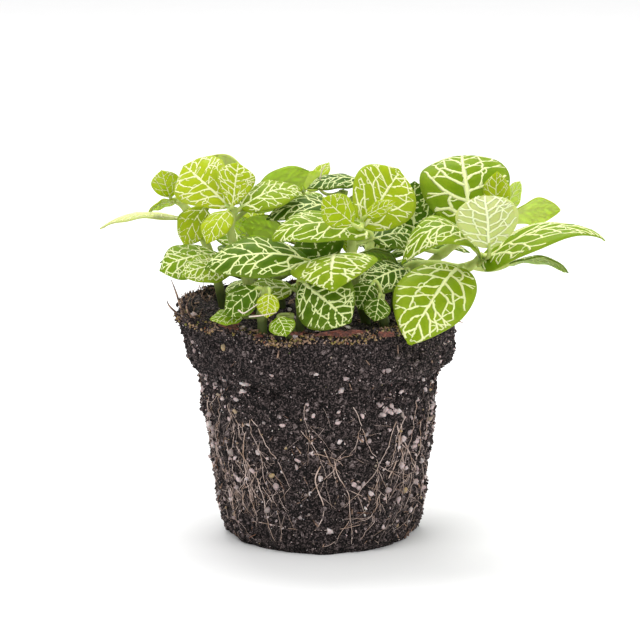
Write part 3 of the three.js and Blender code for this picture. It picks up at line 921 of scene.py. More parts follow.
def underside_finish(own):
    finish = Finish(
        "leaf_underside",
        roughness=0.6,
        subsurface_weight=0.6,
        subsurface_scale=0.003,
        subsurface_radius=LEAF_GLOW,
    )
    tone = finish.tint("Red") + (finish.noise(200) - 0.5) * 0.25
    finish.paint(
        tone * TONE_SPAN,
        (0, own.under_mature),
        (0.5 * TONE_SPAN, own.under_bright),
        (TONE_SPAN, own.under_young),
        (1, own.under_pale),
    )
    finish.bump(finish.cells(1500), 0.05, 0.4)
    return finish.material


def vein_finish(name, low, high):
    finish = Finish(name, roughness=0.5, subsurface_weight=0.1, subsurface_scale=0.001)
    tone = finish.tint("Red") + (finish.noise(300) - 0.5) * 0.3
    finish.paint(tone, (0, low), (1, high))
    finish.bump(finish.noise(2500), 0.03, 0.5)
    return finish.material


def stem_finish(own):
    """Streaked green that darkens towards the soil: the foot's older colour, with painted shade under
    the leaves.
    """
    finish = Finish("stem", specular=0.15, subsurface_weight=0.15, subsurface_scale=0.002)
    streaks = finish.noise(420, stretch=(1, 1, 0.25))
    green = finish.ramp(streaks, (0.3, own.stem_shade), (0.65, own.stem))
    # Darker towards the soil: the foot's older colour, with painted shade under the leaves
    above = finish.node("ShaderNodeSeparateXYZ", inputs={"Vector": finish.place()}, output="Z")
    height = (above - STEM_SHADE_FROM * MM) * (1 / (STEM_SHADE_SPAN * MM))
    low = finish.ramp(height + finish.noise(300) * 0.4 - 0.2, (0, WHITE), (1, BLACK))
    finish.drive("Base Color", finish.blend(low, green, own.old_and_shaded_stem_foot))
    finish.drive("Roughness", 0.42 + finish.noise(800) * 0.2)
    finish.bump(finish.noise(1600, stretch=(1, 1, 0.3)), 0.08, 0.6)
    return finish.material


def soil_finish(own):
    """Painted shade in the pits and painted highlights on the grains, following the relief, with a few
    pale flecks.
    """
    finish = Finish("soil", specular=0.2, roughness=0.95)
    grains = finish.cells(1000)
    shade = finish.noise(420, detail=5, rough=0.7)
    grit = finish.noise(1700)
    # Low in the relief is darker and high is lighter: painted shade in the hollows, painted highlights
    # on the ridges
    pits = grains * 0.6 + (0.5 - shade) * 0.8 + (0.5 - grit) * 3 + 0.1
    brown = finish.ramp(pits, (0, own.soil_light_and_ridge_highlight), (0.27, own.soil), (0.5, own.soil_dark_and_hollow_shade))
    fleck = finish.ramp(finish.noise(1500, detail=2), (0.64, BLACK), (0.74, WHITE))
    finish.drive("Base Color", finish.blend(fleck * 0.4, brown, own.soil_fleck))
    finish.bump(shade * 1.2 + grit * 0.5 - grains, 0.6, 1.0)
    return finish.material


def crumb_finish(own):
    finish = Finish("crumb", specular=0.2, roughness=0.92)
    mottle = (finish.noise(1800) - 0.5) * 2.6 + finish.tint("Green") * 0.85
    finish.paint(
        mottle,
        (0, own.soil_dark_and_hollow_shade),
        (0.35, own.soil),
        (0.75, own.soil_light_and_ridge_highlight),
        (1, own.soil_fleck),
    )
    finish.bump(finish.noise(2400), 0.15, 0.8)
    return finish.material


def perlite_finish(own):
    """A kind of white for each grain, stained with soil."""
    finish = Finish("perlite", roughness=0.85, subsurface_weight=0.1, subsurface_scale=0.001)
    white = finish.ramp(
        finish.tint("Green"),
        (0, own.perlite),
        (0.5, own.perlite_pink),
        (0.85, own.perlite_grey),
        (1, own.perlite_ochre),
    )
    stain = finish.ramp(finish.noise(900, detail=4), (0.42, WHITE), (0.62, BLACK))
    finish.drive("Base Color", finish.blend(stain * 0.5, white, own.soil_fleck))
    finish.bump(finish.noise(2200) + finish.cells(1500), 0.2, 0.8)
    return finish.material


def root_finish(name, light, dark):
    finish = Finish(name, roughness=0.7)
    finish.paint(finish.noise(260, detail=4), (0.35, dark), (0.62, light))
    finish.bump(finish.noise(2400), 0.06, 0.7)
    return finish.material


def litter_finish(name, light, dark):
    finish = Finish(name, roughness=0.75)
    finish.paint(finish.noise(700, detail=5, rough=0.7), (0.42, dark), (0.6, light))
    finish.bump(finish.noise(1500), 0.2, 0.9)
    return finish.material


def moss_finish(own):
    finish = Finish("moss", roughness=0.85)
    finish.paint(
        finish.tint("Green"),
        (0, own.litter_dark),
        (0.35, own.root_dark),
        (0.7, own.moss),
        (0.9, own.moss_green),
        (1, own.litter),
    )
    finish.bump(finish.noise(2000), 0.15, 0.8)
    return finish.material


# Properties

def length(name, description, default):
    """A length kept in metres, with its default given in millimetres."""
    return FloatProperty(
        name=name, description=description, default=default * MM, min=0, precision=5, unit="LENGTH",
    )


def proportion(name, description, default):
    return FloatProperty(
        name=name, description=description, default=default, min=0, max=1, subtype="FACTOR",
    )


def colour(name, description, default):
    return FloatVectorProperty(
        name=name, description=description, default=default, size=3, min=0, max=1, subtype="COLOR",
    )


def number(name, description, default):
    return IntProperty(name=name, description=description, default=default, min=0, max=20000)


class PlantSizes(bpy.types.PropertyGroup):
    blade: length("Blade", "Thickness of a blade", 0.42)
    vein_height: proportion("Vein height", "Height of a vein against its width", 0.45)
    stem: length("Stem", "Radius of a stem's foot", 1.8)
    stalk: length("Stalk", "Radius of a leaf's stalk", 0.95)
    root: length("Root", "Radius of the larger roots", 0.24)
    crumbs: number("Crumbs", "Crumbs of soil on the ball's side", 8200)
    top_crumbs: number("Top crumbs", "Crumbs of soil on the ball's top", 2000)
    grains: number("Grains", "Perlite grains in the ball's surface", 640)
    specks: number("Specks", "Tiny pale specks in the ball's surface", 1500)
    root_systems: number("Root systems", "Branching thin roots on the ball's side", 26)
    hairs: number("Root hairs", "Short root hairs on the ball's side", 380)
    scraps: number("Scraps", "Decayed leaf scraps scattered on the ball's top", 22)
    moss: number("Moss", "Places along the rim where a flake of moss may lie", 1900)
    side_slivers: number("Side slivers", "Bits of bark on the ball's side", 90)
    top_slivers: number("Top slivers", "Bits of bark on the ball's top", 130)
    rim_slivers: number("Rim slivers", "Bits of bark along the left of the rim", 110)


class PlantColours(bpy.types.PropertyGroup):
    young: colour("Young leaf", "Upper side of a young leaf", (0.37, 0.44, 0.007))
    bright: colour("Bright leaf", "Upper side of a half grown leaf", (0.128, 0.22, 0.0025))
    pale: colour("Pale leaf", "Upper side of the palest leaf", (0.54, 0.57, 0.23))
    mature: colour("Mature leaf", "Upper side of an old leaf", (0.034, 0.086, 0.0015))
    halo: colour("Halo", "Leaf beside its veins", (0.36, 0.44, 0.07))
    leaf_mottle: colour("Leaf mottle", "Fine darker mottle of a leaf", (0.04, 0.1, 0.0))
    under_pale: colour("Pale underside", "Under side of the palest leaf", (0.385, 0.415, 0.145))
    under_young: colour("Young underside", "Under side of a young leaf", (0.42, 0.52, 0.08))
    under_bright: colour("Bright underside", "Under side of a half grown leaf", (0.34, 0.45, 0.06))
    under_mature: colour("Mature underside", "Under side of an old leaf", (0.2, 0.28, 0.07))
    vein: colour("Vein", "Veins of a mature leaf", (0.72, 0.77, 0.33))
    vein_young: colour("Young vein", "Veins of a young leaf", (0.8, 0.8, 0.4))
    under_vein: colour("Underside vein", "Veins under a young leaf", (0.78, 0.82, 0.46))
    stem: colour("Stem", "Lit side of a stem", (0.5, 0.59, 0.18))
    # Painted shade at the stems' feet under the leaves, together with their older colour
    old_and_shaded_stem_foot: colour("Stem foot", "Old foot of a stem", (0.055, 0.075, 0.016))
    stem_shade: colour("Stem streak", "Darker streaks of a stem", (0.33, 0.43, 0.08))
    soil: colour("Soil", "Lighter soil", (0.03, 0.0225, 0.0215))
    # Besides the soil's own tones, the next two paint highlights on its ridges and shade in its hollows
    soil_light_and_ridge_highlight: colour("Dry soil", "Dry crumbs and ridges of the soil", (0.115, 0.088, 0.086))
    soil_dark_and_hollow_shade: colour("Dark soil", "Damp soil in the hollows", (0.004, 0.0035, 0.0035))
    soil_fleck: colour("Flecks", "Pale flecks in the soil", (0.22, 0.18, 0.175))
    perlite: colour("Perlite", "Clean white grains", (0.7, 0.62, 0.6))
    perlite_pink: colour("Pink perlite", "Stained grains", (0.56, 0.43, 0.42))
    perlite_grey: colour("Grey perlite", "Dull grains", (0.3, 0.25, 0.245))
    perlite_ochre: colour("Ochre grains", "Yellow and brown grains", (0.42, 0.3, 0.12))
    root: colour("Root", "Pale dry root", (0.72, 0.57, 0.51))
    root_dark: colour("Root shade", "Darker stretches of a root", (0.4, 0.26, 0.18))
    root_dull: colour("Dull root", "Dull old root", (0.24, 0.18, 0.155))
    root_red: colour("Red root", "Reddish young root", (0.4, 0.17, 0.09))
    litter: colour("Litter", "Reddish decayed leaf", (0.2, 0.06, 0.035))
    moss: colour("Moss", "Ochre moss along the rim", (0.26, 0.17, 0.05))
    moss_green: colour("Green moss", "Olive green moss along the rim", (0.16, 0.16, 0.03))
    litter_dark: colour("Dark litter", "Dark side of the decayed leaf", (0.05, 0.02, 0.015))
    straw: colour("Straw", "Dried stalk", (0.55, 0.52, 0.4))


def sizes():
    return bpy.context.scene.plant_sizes


def colours():
    return bpy.context.scene.plant_colours


def millimetres(metres):
    return metres / MM


# Operators

class PlantOperator:
    bl_options = {"REGISTER", "UNDO"}


class SetStage(PlantOperator, bpy.types.Operator):
    """Add the floor, the lights and the camera"""

    bl_idname = "plant.set_stage"
    bl_label = "Stage"

    # the camera's target, distance, elevation in degrees, focal length and sensor
    aim = (1.0, 0.0, 77.6)
    distance = 1400
    elevation = 11.5
    lens = 220
    sensor = 36
    # place, width and power of each round light, in metres and watts, and where they point
    lights = {
        "key": ((-0.5, -0.75, 1.25), 0.8, 5),
        "fill": ((0.9, -0.7, 0.7), 0.9, 4),
        "back": ((-0.12, 0.55, 1.35), 0.85, 15),
    }
    lit_place = (0, 0, 0.08)
    world_strength = 0.95
    floor_reach = 6
    paper_white = (0.8, 0.82)

    def execute(self, context):
        scene = context.scene
        scene.view_settings.view_transform = "Standard"
        self.add_floor(scene)
        self.add_world(scene)
        for name, light in self.lights.items():
            self.add_light(scene, name, *light)
        self.add_camera(scene)
        return {"FINISHED"}

    def add_floor(self, scene):
        bm = bmesh.new()
        bmesh.ops.create_grid(bm, x_segments=1, y_segments=1, size=self.floor_reach)
        mesh = bpy.data.meshes.new("floor")
        bm.to_mesh(mesh)
        bm.free()
        floor = bpy.data.objects.new("floor", mesh)
        paper = Finish("paper", roughness=0.9)
        low, high = ((white,) * 3 for white in self.paper_white)
        paper.paint(paper.noise(40), (0, low), (1, high))
        mesh.materials.append(paper.material)
        scene.collection.objects.link(floor)

    def add_world(self, scene):
        world = bpy.data.worlds.new("studio")
        world.use_nodes = True
        background = world.node_tree.nodes["Background"]
        background.inputs["Color"].default_value = (1, 1, 1, 1)
        background.inputs["Strength"].default_value = self.world_strength
        scene.world = world

    def add_light(self, scene, name, place, size, power):
        data = bpy.data.lights.new(name, "AREA")
        data.shape = "DISK"
        data.size = size
        data.energy = power
        light = bpy.data.objects.new(name, data)
        light.location = place
        beam = Vector(self.lit_place) - Vector(place)
        light.rotation_euler = beam.to_track_quat("-Z", "Y").to_euler()
        scene.collection.objects.link(light)

    def add_camera(self, scene):
        data = bpy.data.cameras.new("camera")
        data.lens = self.lens
        data.sensor_width = self.sensor
        data.clip_end = 20
        camera = bpy.data.objects.new("camera", data)
        tilt = math.radians(self.elevation)
        back = Vector((0, -math.cos(tilt), math.sin(tilt)))
        camera.location = (Vector(self.aim) + back * self.distance) * MM
        camera.rotation_euler = (math.pi / 2 - tilt, 0, 0)
        scene.collection.objects.link(camera)
        scene.camera = camera


class AddSoil(PlantOperator, bpy.types.Operator):
    """Add the moulded ball of soil"""

    bl_idname = "plant.add_soil"
    bl_label = "Soil"

    # steps round the ball, and the length of a step along its profile
    turns = 300
    pace = 1.1

    def execute(self, context):
        bm = bmesh.new()
        verts = [bm.verts.new((reach, 0, height)) for reach, height in self.profile()]
        edges = [bm.edges.new(pair) for pair in zip(verts, verts[1:])]
        bmesh.ops.spin(
            bm,
            geom=verts + edges,
            cent=(0, 0, 0),
            axis=(0, 0, 1),
            angle=TAU,
            steps=self.turns,
            use_merge=True,
        )
        bmesh.ops.remove_doubles(bm, verts=bm.verts, dist=0.01)
        for vert in bm.verts:
            self.shape(vert)
        bmesh.ops.recalc_face_normals(bm, faces=bm.faces)
        add_piece("soil", bm, [soil_finish(colours())], ["root_ball"])
        return {"FINISHED"}

    def profile(self):
        """Radius and height of close points from the foot's middle over the rim to the top's."""
        rows = [(0, 0), *[(radius, height) for height, radius, _ in SIDE]]
        rows += [(radius, height) for height, radius in TOP]
        points = [Vector((0, 0))]
        for low, high in zip(rows, rows[1:]):
            low, high = Vector(low), Vector(high)
            steps = max(1, round((high - low).length / self.pace))
            points += [low.lerp(high, step / steps) for step in range(1, steps + 1)]
        return points

    def shape(self, vert):
        """Moves a corner from the plain turned ball to the lumpy one."""
        x, y, height = vert.co
        angle, reach = math.atan2(y, x), math.hypot(x, y)
        radius, shift = side_at(height)
        outer = min(reach / radius, 1)
        grit = soil_grit(vert.co)
        lumps = side_lumps(angle, height)
        # the top, out to the rim
        if height > COLLAR and outer < RIM_TURN:
            height += mix(soil_lumps(x, y), rim_rise(angle), rim_share(outer))
            vert.co = (x - TOP_SHIFT * outer, y, height + grit)
            return
        if height > COLLAR:
            height += rim_rise(angle) * min(1, (height - COLLAR) / 2.5)
        # the foot stays flat
        if height < 0.5:
            grit = min(grit, 0) if outer > 0.97 else 0
        stretch = (reach + lumps * outer + grit) / max(reach, 0.01)
        vert.co = (x * stretch + shift, y * stretch, height)


def scattered(draw, on_side, on_top):
    """Random places on the ball's side and top, with the direction that each faces."""
    for _ in range(on_side):
        angle, height = draw.uniform(0, TAU), draw.uniform(*SIDE_BITS)
        out = Vector((math.cos(angle), math.sin(angle), -0.05))
        yield side_point(angle, height), out
    for _ in range(on_top):
        angle, reach = draw.uniform(0, TAU), TOP_BITS * math.sqrt(draw.random())
        yield top_point(angle, reach), Vector((0, 0, 1))


def crowded_angle(draw):
    """A direction round the ball: grains and root hairs crowd at both sides of the front."""
    if draw.random() < CROWD_SHARE:
        return draw.gauss(draw.choice(CROWDS), CROWD_SPREAD)
    return draw.uniform(0, TAU)


def chips(faces_level, kinds=5):
    """Rough little lumps to scatter, about 1 mm in radius."""
    shapes = []
    for kind in range(kinds):
        bm = bmesh.new()
        bmesh.ops.create_icosphere(bm, subdivisions=faces_level, radius=1)
        for vert in bm.verts:
            vert.co *= 1 + 0.45 * noise.noise(vert.co * 1.3 + Vector((7.1 * kind, 0, 0)))
        mesh = bpy.data.meshes.new("chip")
        bm.to_mesh(mesh)
        bm.free()
        shapes.append(mesh)
    return shapes


def rare_size(draw, least, more, rarity):
    """A random size from the least up to that much more, the larger the rarer."""
    return least + more * draw.random() ** rarity


def discard(shapes):
    for mesh in shapes:
        bpy.data.meshes.remove(mesh)


def drop_chip(bm, mesh, place, size, draw, chance):
    """Adds one turned and squashed chip, with its chance in the tint."""
    tint = bm.verts.layers.float_color.get("tint") or bm.verts.layers.float_color.new("tint")
    before = len(bm.verts)
    bm.from_mesh(mesh)
    bm.verts.ensure_lookup_table()
    turn = Euler((draw.uniform(0, TAU), draw.uniform(0, TAU), 0)).to_matrix().to_4x4()
    squash = Matrix.Diagonal((size, size * draw.uniform(0.6, 1), size * draw.uniform(0.45, 0.9), 1))
    matrix = Matrix.Translation(place) @ turn @ squash
    for vert in bm.verts[before:]:
        vert.co = matrix @ vert.co
        vert[tint] = (0, chance, 0, 1)


class AddCrumbs(PlantOperator, bpy.types.Operator):
    """Add loose crumbs of soil on the ball"""

    bl_idname = "plant.add_crumbs"
    bl_label = "Crumbs"

    seed = 3

    def execute(self, context):
        draw = random.Random(self.seed)
        finish = crumb_finish(colours())
        shapes = chips(1)
        pieces = {"crumbs": (sizes().crumbs, 0), "top_crumbs": (0, sizes().top_crumbs)}
        for name, counts in pieces.items():
            bm = bmesh.new()
            for place, out in scattered(draw, *counts):
                size = rare_size(draw, 0.35, 0.85, 2.2)
                place += out * (soil_grit(place) + draw.uniform(-0.25, 0.2) * size)
                if place.z > 0.9:
                    drop_chip(bm, draw.choice(shapes), place, size, draw, draw.random() ** 1.3)
            add_piece(name, bm, [finish], smooth=False)
        discard(shapes)
        return {"FINISHED"}


class AddPerlite(PlantOperator, bpy.types.Operator):
    """Add the white grains and pale specks in the ball's surface"""

    bl_idname = "plant.add_perlite"
    bl_label = "Perlite"

    seed = 17
    # heights round which the grains crowd
    bands = (54, 34, 12)
    # angle, height and radius of the largest grains, which lie in one clump
    clump = [
        (-0.97, 52.5, 1.5),
        (-0.92, 53.6, 1.2),
        (-1.0, 50.8, 1.2),
        (-0.93, 51.5, 1.3),
        (-0.89, 52, 0.9),
    ]

    def execute(self, context):
        draw = random.Random(self.seed)
        finish = perlite_finish(colours())
        bm = bmesh.new()
        shapes = chips(2)
        for angle, height, size in self.clump:
            self.drop(bm, shapes, draw, side_point(angle, height), angle, size, 0.35)
        for _ in range(sizes().grains):
            angle = crowded_angle(draw)
            height = draw.triangular(3, 80, draw.choice(self.bands))
            size = rare_size(draw, 0.35, 1, 2.6)
            self.drop(bm, shapes, draw, side_point(angle, height), angle, size, draw.random())
        for place, out in scattered(draw, 0, sizes().grains // 6):
            size = rare_size(draw, 0.4, 1, 2)
            drop_chip(bm, draw.choice(shapes), place + out * 0.2, size, draw, draw.random())
        add_piece("perlite", bm, [finish])
        discard(shapes)
        bm = bmesh.new()
        shapes = chips(1)
        for place, _ in scattered(draw, sizes().specks, 0):
            angle = math.atan2(place.y, place.x)
            self.drop(bm, shapes, draw, place, angle, draw.uniform(0.12, 0.34), draw.random() ** 1.5)
        add_piece("specks", bm, [finish])
        discard(shapes)
        return {"FINISHED"}

    def drop(self, bm, shapes, draw, place, angle, size, chance):
        """Lays a grain in the side, unless it would reach below the foot."""
        out = Vector((math.cos(angle), math.sin(angle), 0))
        spot = place + out * (soil_grit(place) + 0.05 * size + 0.12)
        if spot.z > size + 0.3:
            drop_chip(bm, draw.choice(shapes), spot, size, draw, chance)


def frame_random(seed):
    """The random numbers from 0 to 1 that the frame's roots were drawn with."""
    state = seed
    while True:
        state = (state * 1664525 + 1013904223) % 2**32
        yield state / 2**32


def circling_point(turn):
    """A place on the root that circles the foot."""
    height = mix(*CIRCLING_HEIGHT, turn / CIRCLING_TURN) + 0.8 * math.sin(5 * turn)
    return side_point(turn, height, -0.1)


def larger_roots(radius):
    """Routes of the frame's roots, tapering to their ends."""
    draws = frame_random(ROOT_SEED)
    turns = [CIRCLING_TURN * i / CIRCLING_STEPS for i in range(CIRCLING_STEPS + 1)]
    circling = [circling_point(turn) for turn in turns]
    routes = [smooth_route(circling, 160, [radius * share for share in CIRCLING_GIRTH])]
    for i in range(HANGING_ROOTS):
        foot = CIRCLING_TURN * (i + 0.3 + 0.4 * next(draws)) / HANGING_ROOTS
        sway = 0.16 * (next(draws) - 0.5)
        lean = 0.3 * (next(draws) - 0.5)
        start = mix(*HANGING_FROM, next(draws))
        end = circling_point(foot)
        points = [end]
        for step in range(1, HANGING_STEPS + 1):
            share = step / HANGING_STEPS
            angle = foot + lean * share + sway * math.sin(7 * share)
            proud = HANGING_END_PROUD if step == HANGING_STEPS else HANGING_PROUD
            points.insert(0, side_point(angle, mix(end.z, start, share), proud))
        routes.append(smooth_route(points, 40, [radius * share for share in HANGING_GIRTH]))
    return routes


def creeping_root(draw, angle, height, heading, span, radius, forks):
    """Routes of a thin root that creeps down over the ball's side, and of its branches."""
    steps = max(3, round(span / ROOT_PACE))
    route, states = [], []
    for step in range(steps + 1):
        place = side_point(angle, height)
        out = Vector((math.cos(angle), math.sin(angle), 0))
        rise = ROOT_PROUD + radius + 0.5 * noise.noise(Vector((0.4 * step, 9 * angle, 0.3 * height)))
        proud = ROOT_END_PROUD if step in (0, steps) else rise
        spot = place + out * (soil_grit(place) + proud)
        route.append((spot, radius * mix(1, 0.4, step / steps)))
        states.append((angle, height, heading))
        heading += draw.gauss(0, ROOT_WANDER) - ROOT_PULL * math.sin(heading + math.pi / 2)
        angle += ROOT_PACE * math.cos(heading) / ROOT_REACH
        height += ROOT_PACE * math.sin(heading)
        if not ROOT_HEIGHTS[0] < height < ROOT_HEIGHTS[1]:
            break
    routes = [route]
    for _ in range(draw.randint(1, 3) if forks else 0):
        angle, height, heading = states[draw.randrange(len(states) * 3 // 4 + 1)]
        turn = draw.choice((-1, 1)) * draw.uniform(0.35, 1.0)
        reach = span * draw.uniform(0.3, 0.75)
        routes += creeping_root(draw, angle, height, heading + turn, reach, 0.75 * radius, forks - 1)
    return routes


class AddRoots(PlantOperator, bpy.types.Operator):
    """Add the larger roots, the branching thin roots and the root hairs"""

    bl_idname = "plant.add_roots"
    bl_label = "Roots"

    seed = 41
    # angle, height, heading and span of the thin roots that stand out at the front
    front_roots = [
        (-2.43, 54, -1.5, 46),
        (-2.36, 52, -1.1, 40),
        (-2.12, 41, -1.6, 36),
        (-2.2, 50, -1.2, 30),
        (-1.31, 56, -1.0, 42),
        (-2.42, 38, -0.45, 30),
        (-0.84, 50, -1.9, 40),
        (-0.8, 47, -1.5, 34),
        (-0.95, 24, -1.95, 22),
        (-0.62, 54, -1.5, 40),
        (-0.5, 46, -1.7, 34),
        (-2.7, 46, -1.5, 36),
        (-2.62, 55, -1.6, 44),
        (-2.54, 40, -1.4, 34),
        (-2.82, 52, -1.6, 44),
        (-2.28, 44, -1.8, 38),
        (-0.72, 40, -1.4, 32),
        (-0.4, 52, -1.6, 44),
        (-1.66, 38, -0.2, 14),
        (-1.75, 47, -0.8, 26),
    ]

    def execute(self, context):
        draw = random.Random(self.seed)
        own = colours()
        pale = root_finish("root_pale", own.root, own.root_dark)
        red = root_finish("root_red", own.root_red, own.root_dark)
        dull = root_finish("root_dull", own.root_dull, own.soil_light_and_ridge_highlight)
        routes = larger_roots(millimetres(sizes().root))
        add_piece("surface_roots", tubes(routes, 1), [pale], ["root_net"])
        groups = {"pale_roots": (pale, []), "red_roots": (red, []), "dull_roots": (dull, [])}
        for start in self.front_roots:
            groups["pale_roots"][1].extend(creeping_root(draw, *start, draw.uniform(0.12, 0.19), 2))
        for _ in range(sizes().root_systems):
            name = draw.choices(list(groups), weights=(6, 2, 3))[0]
            height = draw.triangular(20, 64, 46)
            angle, heading = draw.uniform(0, TAU), draw.gauss(-math.pi / 2, 0.4)
            start = (angle, height, heading, draw.uniform(16, 38))
            groups[name][1].extend(creeping_root(draw, *start, draw.uniform(0.09, 0.18), 2))
        for _ in range(sizes().hairs):
            name = draw.choices(list(groups), weights=(5, 1, 5))[0]
            height = draw.triangular(2, 68, 16)
            start = (crowded_angle(draw), height, draw.uniform(-3, 0), draw.uniform(3, 11))
            groups[name][1].extend(creeping_root(draw, *start, draw.uniform(0.045, 0.085), 0))
        for name, (finish, routes) in groups.items():
            routes = [route for route in routes if len(route) > 2]
            add_piece(name, tubes(routes, 0), [finish])
        return {"FINISHED"}


class AddLitter(PlantOperator, bpy.types.Operator):
    """Add decayed leaf scraps, moss, dried stalks and bits of bark on the soil"""

    bl_idname = "plant.add_litter"
    bl_label = "Litter"

    seed = 5
    # start, end and width of the reddish strips along the front of the rim
    strips = [
        ((-1, -48.2, 82), (17, -47.2, 83.2), 1.7),
        ((5, -48.4, 82), (12, -48.2, 82.4), 2),
        ((21, -46, 81.8), (26.5, -43.8, 81.2), 2.4),
        ((-34, -36, 83), (-27, -41.5, 82.6), 2),
        ((-14, -46, 82.5), (-5, -48, 82.2), 1.6),
    ]
    # routes of thin dried stalks
    dried = [
        [(-27.2, -50, 91.3), (-25.3, -51, 90.4), (-22.4, -50, 92), (-18, -46, 94.5)],
        [(-23.5, -50, 88.9), (-19, -51, 89.6), (-14, -49, 90.2)],
        [(1, 9, 127), (1.6, 8, 130), (3, 8, 132.5)],
    ]
    # routes of dark splinters that stand out of the rim
    splinters = [
        [(-47.6, -13, 82), (-49.8, -14, 90), (-51.6, -14, 95)],
        [(-44, -20, 82), (-46, -21, 86), (-45.5, -22, 89)],
        [(-50, -9, 82), (-52.5, -9, 84.5), (-53.5, -8, 86.5)],
        [(46, -18, 80), (49.5, -19, 81), (51.5, -19, 80.5)],
    ]

    # directions round which the moss crowds, their spread, and its distance from the middle
    moss_ways = (-1.05, -1.5, -2, -2.7)
    moss_spread = 0.35
    moss_reach = (44.5, 50.5)

    def execute(self, context):
        draw = random.Random(self.seed)
        own = colours()
        red = litter_finish("decayed_leaf", own.litter, own.litter_dark)
        bark = litter_finish("bark", own.root_dark, own.litter_dark)
        straw = litter_finish("straw", own.straw, own.root)
        add_piece("leaf_scraps", self.scraps(draw), [red])
        add_piece("moss_bits", self.moss(draw), [moss_finish(own)], smooth=False)
        add_piece("bark_bits", self.bark(draw), [bark], smooth=False)
        routes = [smooth_route(points, 12, [0.45, 0.35, 0.12]) for points in self.splinters]
        add_piece("splinters", tubes(routes, 1), [bark])
        routes = [smooth_route(points, 14, [0.28, 0.22, 0.12]) for points in self.dried]
        add_piece("dried_stalks", tubes(routes, 1), [straw])
        return {"FINISHED"}

    def scraps(self, draw):
        """The strips on the rim, and smaller scraps scattered over the top."""
        bm = bmesh.new()
        strips = [(*strip, Vector((0, -0.9, 0.5))) for strip in self.strips]
        for _ in range(sizes().scraps):
            angle = draw.uniform(0, TAU)
            place = top_point(angle, draw.uniform(20, 48))
            way = Vector((draw.uniform(-4, 4), draw.uniform(-4, 4), draw.uniform(-0.3, 0.5)))
            strips.append((place, place + way, draw.uniform(0.8, 2), Vector((0, -0.4, 1))))
        for low, high, width, facing in strips:
            self.add_scrap(bm, Vector(low), Vector(high), width, facing)
        bmesh.ops.recalc_face_normals(bm, faces=bm.faces)
        bmesh.ops.solidify(bm, geom=bm.faces[:], thickness=0.18)
        return bm

    def add_scrap(self, bm, low, high, width, facing):
        """A ragged, crumpled strip from one place to another."""
        way = (high - low).normalized()
        side = way.cross(facing).normalized()
        up = side.cross(way)
        made = bmesh.ops.create_grid(bm, x_segments=18, y_segments=5, size=1)["verts"]
        for vert in made:
            u, v = (vert.co.x + 1) / 2, vert.co.y
            narrow = math.sin(math.pi * (0.08 + 0.84 * u)) ** 0.5
            ragged = 0.75 + 0.9 * noise.noise(Vector((11 * u, 3 * v, low.x)))
            crumple = 0.8 * noise.noise(Vector((9 * u, 2 * v, low.y))) + 0.4 * v * v
            place = low.lerp(high, u) + side * (v * width / 2 * narrow * ragged)
            vert.co = place + up * (crumple + 0.4)

    def moss(self, draw):
        """Little flakes along the front and the left of the rim."""
        bm = bmesh.new()
        shapes = chips(1)
        for _ in range(sizes().moss):
            angle = draw.gauss(draw.choice(self.moss_ways), self.moss_spread)
            place = top_point(angle, draw.uniform(*self.moss_reach))
            place.z += draw.uniform(-0.9, 0.6)
            if noise.noise(place * 0.13) < draw.uniform(-0.1, 0.25):
                continue
            size = rare_size(draw, 0.18, 0.45, 2)
            drop_chip(bm, draw.choice(shapes), place, size, draw, draw.random())
        discard(shapes)
        return bm

    def bark(self, draw):
        """Slivers scattered over the soil, and a ragged fringe of them on the left of the rim."""
        bm = bmesh.new()
        spots = scattered(draw, sizes().side_slivers, sizes().top_slivers)
        slivers = [(*spot, draw.uniform(1.5, 5)) for spot in spots]
        for _ in range(sizes().rim_slivers):
            place = top_point(draw.gauss(2.75, 0.4), draw.uniform(41, 48.5))
            slivers.append((place, Vector((-0.2, 0, 0.3)), draw.uniform(2, 6)))
        for place, out, size in slivers:
            made = bmesh.ops.create_cone(
                bm,
                cap_ends=True,
                segments=5,
                radius1=draw.uniform(0.15, 0.5),
                radius2=0.1,
                depth=size,
            )["verts"]
            tilt = Euler((math.pi / 2 + draw.gauss(0, 0.3), draw.gauss(0, 0.3), draw.uniform(0, TAU)))
            if out.z < 0.5:
                tilt = Euler((draw.gauss(0, 0.5), draw.gauss(0, 0.5), draw.uniform(0, TAU)))
            spot = Matrix.Translation(place + out * (soil_grit(place) + 0.15))
            bmesh.ops.transform(bm, matrix=spot @ tilt.to_matrix().to_4x4(), verts=made)
        bmesh.ops.recalc_face_normals(bm, faces=bm.faces)
        return bm


